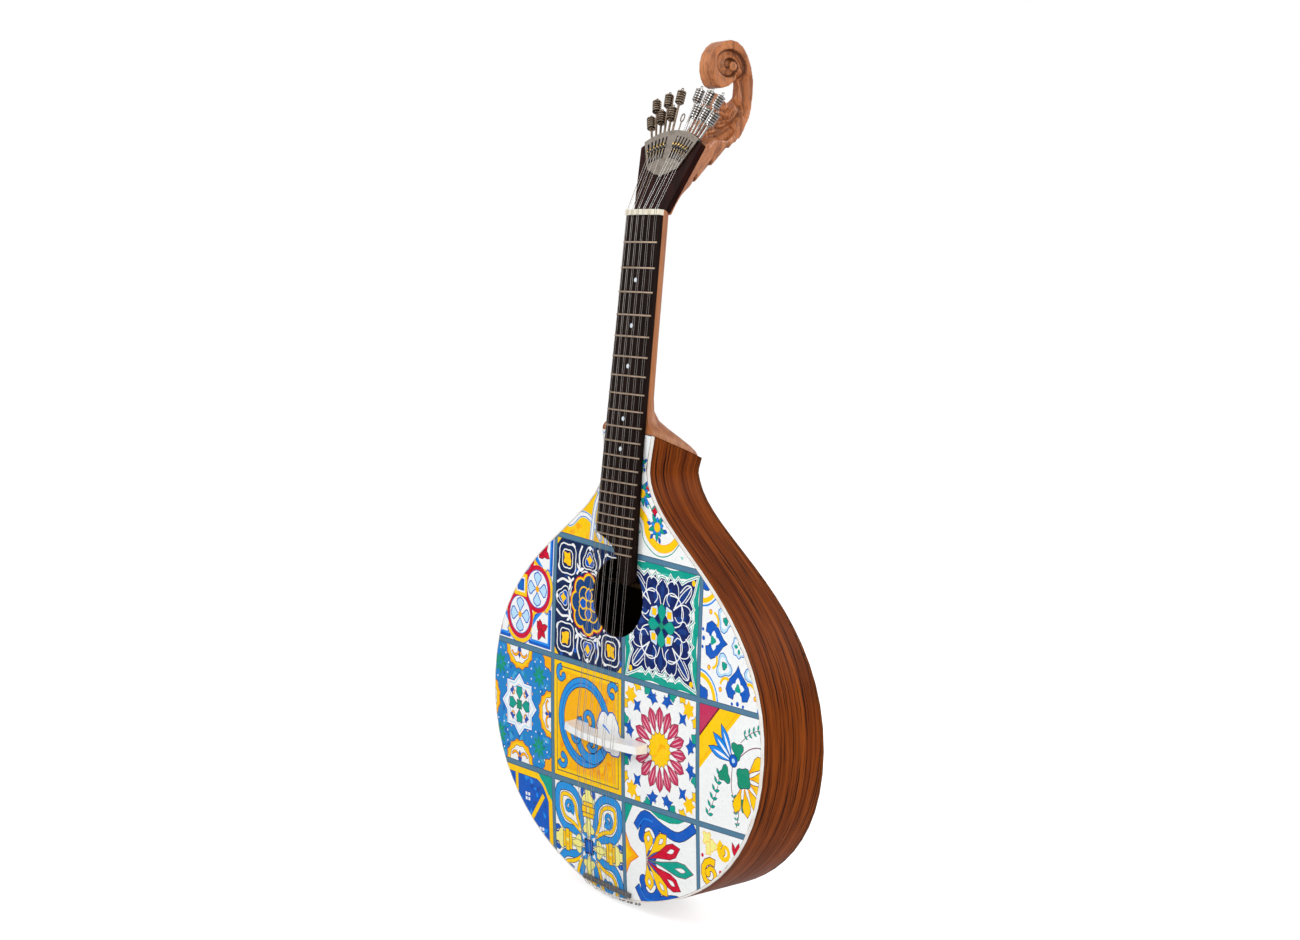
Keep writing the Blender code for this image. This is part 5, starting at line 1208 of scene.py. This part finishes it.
def tube(points, radii, sides, closed=False):
    """Vertices and faces of a tube along points, capped at its ends unless it is closed."""
    verts, faces, count = [], [], len(points)
    side = None
    for i, point in enumerate(points):
        before = points[i - 1] if closed or i else point
        after = points[(i + 1) % count] if closed or i + 1 < count else point
        along = (after - before).normalized()
        if side is None:
            side = along.orthogonal().normalized()
        side = (side - along * side.dot(along)).normalized()
        over = along.cross(side)
        radius = radii[i] if isinstance(radii, (list, tuple)) else radii
        verts += [point + radius * (side * cos(2 * pi * k / sides) + over * sin(2 * pi * k / sides))
                  for k in range(sides)]
    for i in range(count if closed else count - 1):
        a, b = i * sides, (i + 1) % count * sides
        faces += [(a + k, a + (k + 1) % sides, b + (k + 1) % sides, b + k) for k in range(sides)]
    if not closed:
        faces += [tuple(reversed(range(sides))), tuple(range((count - 1) * sides, count * sides))]
    return verts, faces


def piece_of(name, shells, materials, body=None, sharp=40):
    """One object from (vertices in millimetres, faces, material number) shells."""
    verts, faces, slots = [], [], []
    for shell_verts, shell_faces, slot in shells:
        base = len(verts)
        verts += [v * MM for v in shell_verts]
        faces += [tuple(i + base for i in face) for face in shell_faces]
        slots += [slot] * len(shell_faces)
    mesh = bpy.data.meshes.new(name)
    mesh.from_pydata(verts, [], faces)
    piece = link(name, mesh, materials)
    mesh.polygons.foreach_set("material_index", slots)
    shade(mesh, sharp)
    if body:
        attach(piece, body)
    return piece


# ---------------------------------------------------------------- Fingerboard, nut and bridge

FRET_SLACK, FRET_FOOT = 0.05, 0.12         # beside a fret, and above the board's own curve
DOT_FRETS, DOT_RADIUS, DOT_SIDES = (3, 5, 7, 10, 12), 2.1, 16


def make_fingerboard():
    """The fingerboard with its frets in brass: its faces above the board's own curve."""
    board = smooth_copy("fingerboard", "ebony_fingerboard", [EBONY, FRET_BRASS])
    for face in board.data.polygons:
        middle = face.center / MM
        down, rise = neck_place(middle)
        near = min(abs(down - fret_at(n)) for n in range(1, FRET_COUNT + 1))
        if near < FRET_WIDTH / 2 + FRET_SLACK and rise > FRET_FOOT - camber(middle.x):
            face.material_index = 1


def make_dots():
    """Low pearl domes between the frets."""
    shells = []
    around_it = range(DOT_SIDES)
    for fret in DOT_FRETS:
        down = (fret_at(fret) + fret_at(fret - 1)) / 2
        verts = [neck_point(x, down + y, rise) for rise in (-0.4, 0.03)
                 for x, y in circle(DOT_RADIUS, DOT_SIDES)] + [neck_point(0, down, 0.1)]
        ahead = [(k + 1) % DOT_SIDES for k in around_it]
        faces = [(k, ahead[k], DOT_SIDES + ahead[k], DOT_SIDES + k) for k in around_it]
        faces += [(DOT_SIDES + k, DOT_SIDES + ahead[k], 2 * DOT_SIDES) for k in around_it]
        shells.append((verts, faces + [tuple(reversed(around_it))], 0))
    dots = piece_of("pearl_position_dots", shells, [PEARL], "guitar_body")
    outward(dots.data)


def make_neck_front():
    make_fingerboard()
    make_dots()
    for node, name, finish in (("nut", "bone_nut", NUT_BONE),
                               ("bridge", "white_bridge", BRIDGE_WHITE),
                               ("head_plate", "rosewood_head_plate", ROSEWOOD),
                               ("fan_plate", "nickel_fan_plate", PLATE_NICKEL),
                               ("tail_bar", "dark_tail_bar", TAIL_DARK),
                               ("tailpiece", "steel_tailpiece", TAIL_STEEL)):
        smooth_copy(node, name, [finish])


def outward(mesh):
    """Turns all faces outwards."""
    bm = bmesh.new()
    bm.from_mesh(mesh)
    bmesh.ops.recalc_face_normals(bm, faces=bm.faces)
    bm.to_mesh(mesh)
    bm.free()


# ---------------------------------------------------------------- Carved head and scroll

CURL = ((96, 728), (101, 739), (108, 745), (113.5, 753), (115.5, 762), (113, 769.5), (108, 770.5),
        (103, 764.5), (97, 760), (90, 757.5), (83.5, 759.5), (79.3, 765), (76.9, 772), (76.6, 780),
        (78.6, 788), (83.5, 795), (90, 799.8), (97.5, 802.3), (105, 801.6), (112, 797.6),
        (118, 790.5), (123, 780.5), (126.4, 768), (126.5, 755), (125.4, 742), (122, 729),
        (112, 714))
UPPER_CUT = ((40, 755), (89, 755), (95, 746), (101, 741), (140, 741), (140, 830), (40, 830))
CHEEK_TOP = ((20, 712), (50, 711), (70, 708.5), (93, 709.5), (108, 719), (121, 731), (136, 745),
             (136, 830), (20, 830))
SCROLL_HALF, KEEL_HALF, CURL_FRONT_HALF = 12.5, 9.5, 9.6
VOLUTE = (97.0, 779.0)                     # the middle of the volute in side view
VOLUTE_WIDE, VOLUTE_RADIUS, VOLUTE_PITCH, VOLUTE_START = 1.2, 18.0, 8.0, radians(-38)
VOLUTE_DEPTH = 4.2
EYE, EYE_RADIUS, EYE_REACH = (100.5, 778.5), 4.4, 13.5
CURL_FOOT, CURL_FULL = 738.0, 752.0        # heights between which the head turns into the curl
CARVED_FROM, FAINT_FROM = (44.0, 694.0), 748.0         # where the veins start, and turn shallow
VEIN_DEPTH, VEIN_HALF, VEIN_SHADE_HALF = 1.9, 2.4, 1.7
LEAF_DEPTH, LEAF_WIDTH = 2.4, 9.0
# Where the leaves end along the back of the head, and how deep each end is cut
LEAF_ENDS = ((123.5, 731), (112.4, 712), (102.3, 701.2), (80, 684.7), (60, 668.5), (52, 663))
# Cuts of the gouge in side view
VEINS = (((50, 699), (64, 713), (80, 719), (96, 722), (112, 736)),
         ((54, 705), (66, 722), (80, 729), (92, 728), (102, 735), (106, 748)),
         ((62, 716), (74, 734), (86, 739), (96, 736), (101, 742)),
         ((70, 727), (78, 741), (87, 747), (92, 744), (88, 738), (80, 736)),
         ((72, 718), (82, 723), (90, 719), (84, 714)),
         ((86, 724), (98, 727), (108, 740), (112, 754)),
         ((58, 701), (72, 711), (88, 713), (102, 722)),
         ((76, 714), (90, 717), (104, 728), (114, 744)),
         ((66, 709), (76, 727), (88, 734), (98, 730)),
         ((117, 735), (119, 752), (117, 770), (111, 783), (103, 791)))


def mesh_shell(mesh, slot=0):
    return [v.co / MM for v in mesh.vertices], [tuple(f.vertices) for f in mesh.polygons], slot


def prism(profile, low, high):
    """A side view (y, z) drawn out from low to high across the head."""
    count = len(profile)
    verts = [Vector((x, y, z)) for x in (low, high) for y, z in profile]
    faces = [tuple(reversed(range(count))), tuple(range(count, 2 * count))]
    faces += [(i, (i + 1) % count, count + (i + 1) % count, count + i) for i in range(count)]
    return verts, faces, 0


def settled(name, mesh, *modifiers):
    """The mesh after its modifiers, each a type and its settings."""
    obj = link(name, mesh)
    for kind, settings in modifiers:
        modifier = obj.modifiers.new(kind.lower(), kind)
        for key, value in settings.items():
            setattr(modifier, key, value)
    made = bpy.data.meshes.new_from_object(obj.evaluated_get(bpy.context.evaluated_depsgraph_get()))
    bpy.data.objects.remove(obj)
    return made


def line_gap(y, z, line):
    return min(on_segment(y, z, start, end)[1] for start, end in zip(line, line[1:]))


def ramp(value, low, high):
    """Rises smoothly from 0 at low to 1 at high."""
    share = min(1.0, max(0.0, (value - low) / (high - low)))
    return share * share * (3 - 2 * share)


def volute_cut(y, z):
    """Depth of the channel that winds in to the eye, and how much its crevice is shaded."""
    across, up = (y - VOLUTE[0]) / VOLUTE_WIDE, z - VOLUTE[1]
    radius = hypot(across, up)
    if radius > VOLUTE_RADIUS + 2 or hypot(y - EYE[0], z - EYE[1]) < EYE_RADIUS:
        return 0.0, 0.0
    turn = ((atan2(up, across) - VOLUTE_START) % (2 * pi)) / (2 * pi)
    inward = (VOLUTE_RADIUS - radius) / VOLUTE_PITCH - turn
    if inward < 0:
        return 0.0, 0.0
    share = inward % 1.0
    depth = VOLUTE_DEPTH * (ramp(turn, 0.0, 0.12) if inward < 1 else 1.0)
    crevice = ramp(share, 0.0, 0.08) * (1 - 0.75 * ramp(share, 0.14, 0.42))
    return depth * ramp(share, 0.0, 0.16) * (1 - share) ** 0.8 + 0.5 * min(inward, 1.6), crevice


def back_cut(point):
    """Depth of the leaf ends cut in steps along the back."""
    best, cut = 1e9, 0.0
    for (y0, z0), (y1, z1) in zip(LEAF_ENDS, LEAF_ENDS[1:]):
        dy, dz = y1 - y0, z1 - z0
        share = ((point.y - y0) * dy + (point.z - z0) * dz) / (dy * dy + dz * dz)
        if 0 <= share < 1:
            gap = abs((point.y - y0) * dz - (point.z - z0) * dy) / hypot(dy, dz)
            if gap < best:
                best, cut = gap, LEAF_DEPTH * (1 - share) ** 1.3
    return cut if best < LEAF_WIDTH else 0.0


def scroll_blank():
    """The uncarved scroll in one skin: the solid's head below the cuts, the curl and the eye."""
    cutters = piece_of("cheek_cutters", [prism(CHEEK_TOP, KEEL_HALF, 60),
                                         prism(CHEEK_TOP, -60, -KEEL_HALF),
                                         prism(UPPER_CUT, -40, 40)], [])
    outward(cutters.data)
    low = settled("low_head", joined_mesh("scroll_head", "low_head"),
                  ("BOOLEAN", {"object": cutters, "solver": "EXACT", "use_self": True}))
    bpy.data.objects.remove(cutters)
    rough = piece_of("rough_scroll", [mesh_shell(low), prism(CURL, -SCROLL_HALF, SCROLL_HALF),
                                      prism(circle(EYE_RADIUS, 20, *EYE), -EYE_REACH, EYE_REACH)],
                     [])
    outward(rough.data)
    mesh = rough.data
    bpy.data.objects.remove(rough)
    return settled("carved_scroll_head", mesh,
                   ("REMESH", {"mode": "VOXEL", "voxel_size": 1.0 * MM, "adaptivity": 0.0}),
                   ("SMOOTH", {"factor": 0.5, "iterations": 3}))


def curl_width(point):
    """The curl's width as a share of its full one: narrow in front, a thin ridge along its stem."""
    wide = lerp(CURL_FRONT_HALF, SCROLL_HALF, ramp(point.y, 80, 124)) / SCROLL_HALF
    stem = ramp(point.y, 104, 110) * (1 - ramp(point.z, 766, 776))
    wide *= lerp(1.0, lerp(0.14, 1.0, ramp(point.y, 111, 126)), stem)
    return lerp(1.0, wide, ramp(point.z, CURL_FOOT, CURL_FULL))


def carved(point, normal):
    """Where a point of the blank lies after the carving, and how much painted shade falls in its
    crevice.
    """
    side, cut, shadow = abs(normal.x), 0.0, 0.0
    if point.z > CURL_FOOT:
        point.x *= curl_width(point)
        depth, crevice = volute_cut(point.y, point.z)
        cut, shadow = side * depth, side * crevice
    if point.y > CARVED_FROM[0] and point.z > CARVED_FROM[1]:
        strength = side if point.z < FAINT_FROM else 0.5 * side
        for line in VEINS:
            gap = line_gap(point.y, point.z, line)
            cut += VEIN_DEPTH * strength * max(0.0, 1 - (gap / VEIN_HALF) ** 2)
            shadow = max(shadow, 0.62 * side * (1 - (gap / VEIN_SHADE_HALF) ** 2))
    if normal.y > 0.15 or normal.z < -0.2:
        step = back_cut(point) * ramp(normal.y - 0.4 * normal.z, 0.2, 0.7)
        cut += step
        shadow = max(shadow, 0.35 * step)
    return point - normal * cut, min(1.0, shadow)


def make_scroll():
    mesh = scroll_blank()
    mesh.materials.clear()
    cuts = [carved(vert.co / MM, vert.normal) for vert in mesh.vertices]
    mesh.vertices.foreach_set("co", [c for point, _ in cuts for c in point * MM])
    # The painted shade of each crevice is stored for the wood's colour.
    mesh.attributes.new("carved", "FLOAT", "POINT").data.foreach_set(
        "value", [shadow for _, shadow in cuts])
    piece = link("carved_scroll_head", mesh, [SCROLL_CEDAR])
    shade(mesh, 60)
    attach(piece, "guitar_body")
    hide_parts("scroll_head")


# ---------------------------------------------------------------- Tuning screws, hooks and strings

# A screw's sizes in millimetres, with its heights above the fan's middle
SCREW_SIZES = {"Rod Low": 44.4, "Thread Radius": 0.9, "Rod From": 74.1, "Rod Radius": 1.1,
               "Knob Middle": 110.0, "Knob Length": 12.0, "Knob Radius": 4.3, "Ridge Height": 1.1,
               "Eye Radius": 1.6, "Eye Wire": 0.45}
KNOB_RIDGES, COLLAR_SHARE, RIDGE_SHARE, COLLAR_HEIGHT = 5, 0.62, 0.56, 1.1
# A hook's wire: how far it is from the fan's middle and from the plate, and its thickness
HOOK_BEND = ((58.6, 1.4), (58.4, 2.4), (58.7, 3.1), (59.6, 3.5), (60.6, 3.2), (61.1, 2.4))
HOOK_RADII = (0.75, 0.75, 0.75, 0.72, 0.66, 0.5)
LOOP_HEIGHT = 2.2                          # of the string's loop above the plate
TWIST_LENGTH, TWIST_STEPS, TWIST_TURN, TWIST_RADIUS = 4.6, 18, 1.1, 0.24


def tuner_tree():
    """Geometry nodes for a tuning screw that points up: a rod, a ringed knob and an eye."""
    tree = bpy.data.node_groups.new("tuning_screw", "GeometryNodeTree")
    tree.is_modifier = True

    def socket(label, kind, way="INPUT"):
        return tree.interface.new_socket(label, in_out=way, socket_type=f"NodeSocket{kind}")

    for label, millimetres in SCREW_SIZES.items():
        socket(label, "Float").default_value = millimetres * MM
    socket("Ridges", "Int").default_value = KNOB_RIDGES
    socket("Finish", "Material")
    socket("Shade Finish", "Material")
    socket("Geometry", "Geometry", "OUTPUT")
    size, made = tree.nodes.new("NodeGroupInput").outputs, tree.nodes.new("NodeGroupOutput")

    def upwards(height):
        return add_node(tree, "ShaderNodeCombineXYZ", {"Z": height}).outputs[0]

    def moved(geometry, **inputs):
        return add_node(tree, "GeometryNodeTransform", {"Geometry": geometry, **inputs}).outputs[0]

    def cylinder(radius, depth, sides):
        return add_node(tree, "GeometryNodeMeshCylinder",
                        {"Vertices": sides, "Radius": radius, "Depth": depth}).outputs["Mesh"]

    def bar(radius, low, high, sides):
        middle = maths(tree, "MULTIPLY", maths(tree, "ADD", low, high), 0.5)
        return moved(cylinder(radius, maths(tree, "SUBTRACT", high, low), sides),
                     Translation=upwards(middle))

    def ring(radius, sides):
        return add_node(tree, "GeometryNodeCurvePrimitiveCircle",
                        {"Resolution": sides, "Radius": radius}).outputs["Curve"]

    def joined(parts):
        node = add_node(tree, "GeometryNodeJoinGeometry")
        for part in parts:
            feed(tree, node.inputs[0], part)
        return node.outputs[0]

    def finished(parts, finish):
        real = add_node(tree, "GeometryNodeRealizeInstances", {0: joined(parts)}).outputs[0]
        return add_node(tree, "GeometryNodeSetMaterial",
                        {"Geometry": real, "Material": size[finish]}).outputs[0]

    half = maths(tree, "MULTIPLY", size["Knob Length"], 0.5)
    knob_low = maths(tree, "SUBTRACT", size["Knob Middle"], half)
    knob_high = maths(tree, "ADD", size["Knob Middle"], half)
    pitch = maths(tree, "DIVIDE", size["Knob Length"], size["Ridges"])
    core = maths(tree, "SUBTRACT", size["Knob Radius"], size["Ridge Height"])
    collar = maths(tree, "MULTIPLY", size["Knob Radius"], COLLAR_SHARE)
    first = maths(tree, "ADD", knob_low, maths(tree, "MULTIPLY", pitch, 0.5))
    line = add_node(tree, "GeometryNodeMeshLine",
                    {"Count": size["Ridges"], "Offset": upwards(pitch),
                     "Start Location": upwards(first)})
    ridge = cylinder(size["Knob Radius"], maths(tree, "MULTIPLY", pitch, RIDGE_SHARE), 20)
    ridges = add_node(tree, "GeometryNodeInstanceOnPoints",
                      {"Points": line.outputs["Mesh"], "Instance": ridge})
    eye = add_node(tree, "GeometryNodeCurveToMesh", {"Curve": ring(size["Eye Radius"], 16),
                                                     "Profile Curve": ring(size["Eye Wire"], 6)})
    eye = moved(moved(eye.outputs["Mesh"], Rotation=(pi / 2, 0, 0)),
                Translation=upwards(maths(tree, "ADD", knob_high, size["Eye Radius"])))
    bright = finished([bar(size["Rod Radius"], size["Rod From"], knob_low, 12),
                       bar(collar, maths(tree, "SUBTRACT", knob_low, COLLAR_HEIGHT * MM), knob_low,
                           14), ridges.outputs["Instances"], eye], "Finish")
    # The thread in the slot and the knob's core between its ridges: painted shade, near black.
    dark = finished([bar(size["Thread Radius"], size["Rod Low"], size["Rod From"], 10),
                     bar(core, knob_low, knob_high, 20)], "Shade Finish")
    feed(tree, made.inputs["Geometry"], joined([dark, bright]))
    return tree


def grown_mesh(name, tree, values):
    """The plain mesh that a geometry node tree makes with these inputs."""
    obj = link(name, bpy.data.meshes.new(name))
    modifier = obj.modifiers.new(name, "NODES")
    modifier.node_group = tree
    sockets = {item.name: item.identifier for item in tree.interface.items_tree
               if item.in_out == "INPUT"}
    for label, value in values.items():
        modifier[sockets[label]] = value
    made = bpy.data.meshes.new_from_object(obj.evaluated_get(bpy.context.evaluated_depsgraph_get()))
    bpy.data.objects.remove(obj)
    made.name = name
    return made


def make_screws():
    """The twelve screws; the six on the bass side have gone darker."""
    tree = tuner_tree()
    for number in range(12):
        angle = screw_angle(number)
        finish = KNOB_BRONZE if number < 6 else KNOB_STEEL
        mesh = grown_mesh(f"knobbed_screw_{number + 1:02d}", tree,
                          {"Knob Middle": knob_at(number) * MM, "Finish": finish,
                           "Shade Finish": SHADE_STEEL})
        foot = fan_point(angle, 0, -SCREW_DEPTH)
        along = (fan_point(angle, 1, -SCREW_DEPTH) - foot).normalized()
        face = (head_point(0, 0, 1) - head_point(0, 0, 0)).normalized()
        across = along.cross(face)
        turn = Matrix((across, along.cross(across), along)).transposed()
        mesh.transform(Matrix.Translation(foot * MM) @ turn.to_4x4())
        shade(mesh, 35)
        piece = link(mesh.name, mesh)
        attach(piece, f"screw_{number + 1:02d}")
        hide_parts(f"tuner_screw_{number + 1:02d}")


def string_start(number):
    return fan_point(screw_angle(number), HOOK_AT - 2.3, LOOP_HEIGHT)


def nut_string_point(number, down):
    """The middle of a string over the nut, where it lies in its slot."""
    x = course_x(number, *NUT_SPREAD)
    rise = NUT_RISE - camber(x) - SLOT_DEPTH + GAP + STRING_RADII[number]
    return neck_point(x, down, rise)


def string_loop(number):
    """The string's end: a ring on the hook, and two strands twisted together below it."""
    angle = screw_angle(number)
    middle = fan_point(angle, HOOK_AT, LOOP_HEIGHT)
    along = (fan_point(angle, 1, 0) - fan_point(angle, 0, 0)).normalized()
    across = Vector((cos(angle), 0, 0)) - along * along.x * cos(angle)
    across.normalize()
    ring = [middle + along * 1.5 * x + across * 1.25 * y for x, y in circle(1.0, 12)]
    start = string_start(number)
    onto = (nut_string_point(number, -NUT_LENGTH - GAP) - start).normalized()
    side = onto.orthogonal().normalized()
    over = onto.cross(side)
    shells = [(*tube(ring, 0.22, 6, closed=True), 1)]
    for phase in (0, pi):
        turns = [phase + i * TWIST_TURN for i in range(TWIST_STEPS + 1)]
        twist = [start + onto * (TWIST_LENGTH * i / TWIST_STEPS)
                 + TWIST_RADIUS * (side * cos(turn) + over * sin(turn))
                 for i, turn in enumerate(turns)]
        shells.append((*tube(twist, 0.13, 5), 0))
    return shells


def make_hooks():
    """A hook of bent brass wire on its block, and the string's twisted loop on it."""
    for number in range(12):
        name = f"tuner_hook_{number + 1:02d}"
        wire = [fan_point(screw_angle(number), reach, rise) for reach, rise in HOOK_BEND]
        # The block sits in its slot and takes the near-black steel: painted shade.
        shells = [mesh_shell(joined_mesh(name, name + "_block"), 2),
                  (*tube(wire, HOOK_RADII, 8), 0)]
        piece = piece_of(f"brass_hook_{number + 1:02d}", shells + string_loop(number),
                         [HOOK_BRASS, STRING_STEEL, SHADE_STEEL], f"hook_{number + 1:02d}")
        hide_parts(name)


def tail_z(x, out):
    """Height of the rib's outer face under the tail, moved outwards."""
    line = half_outline(-out, 34)
    for (x0, z0), (x1, z1) in zip(line, line[1:]):
        if x0 <= abs(x) <= x1:
            return lerp(z0, z1, (abs(x) - x0) / (x1 - x0))
    return line[0][1]


def string_path(number):
    """From the hook over the nut, the bridge and the tail bar to the pin."""
    radius = STRING_RADII[number]
    nut = neck_point(0, -NUT_LENGTH / 2, NUT_RISE - SLOT_DEPTH + GAP)
    last = neck_point(0, fret_at(FRET_COUNT), FRET_HEIGHT + STRING_OVER_LAST_FRET)
    crown = nut.y + (last.y - nut.y) * (nut.z - BRIDGE_Z) / (nut.z - last.z)
    upper_end = nut_string_point(number, -NUT_LENGTH - GAP)
    path = [string_start(number).lerp(upper_end, i / 6) for i in range(7)]
    path.append(nut_string_point(number, 0.0))
    x = course_x(number, *BRIDGE_SPREAD)
    path += [Vector((x, crown + camber(x) - radius, BRIDGE_Z + z))
             for z in (BRIDGE_HALF, -BRIDGE_HALF)]
    x = course_x(number, *TAIL_SPREAD)
    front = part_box("tail_bar")[0][1] / MM - GAP - radius
    path += [Vector((x, front, TAIL_BAR_Z + z)) for z in (TAIL_BAR_HALF, -TAIL_BAR_HALF)]
    edge = tail_z(x, 0)
    path.append(Vector((x, -0.9 - radius, edge - 0.6 - radius)))
    path.append(Vector((x, 2.0, edge - 1.5 - radius)))
    path.append(Vector((x, PIN_Y - 1.3, tail_z(x, 1.3) - 1.2)))
    return path


def make_strings():
    """Each string stretches between the body and its hook; below the nut its steel is painted
    darker, as shade.
    """
    for number in range(12):
        path = string_path(number)
        verts, faces = tube(path, STRING_RADII[number], 8)
        wound = number in WOUND_STRINGS
        piece = piece_of(f"steel_string_{number + 1:02d}", [(verts, faces, 0)],
                         [WOUND_BRONZE if wound else STRING_STEEL, SHADED_STRING_STEEL])
        # Below the nut the string takes the darker copy: painted shade.
        for face in piece.data.polygons:
            face.material_index = int(face.center.z < path[7].z * MM)
        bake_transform(piece)
        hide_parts(f"string_{number + 1:02d}")


for make in (place_camera, light_studio, make_floor, make_body, make_soundboard, make_neck_front,
             make_scroll, make_screws, make_hooks, make_strings):
    make()
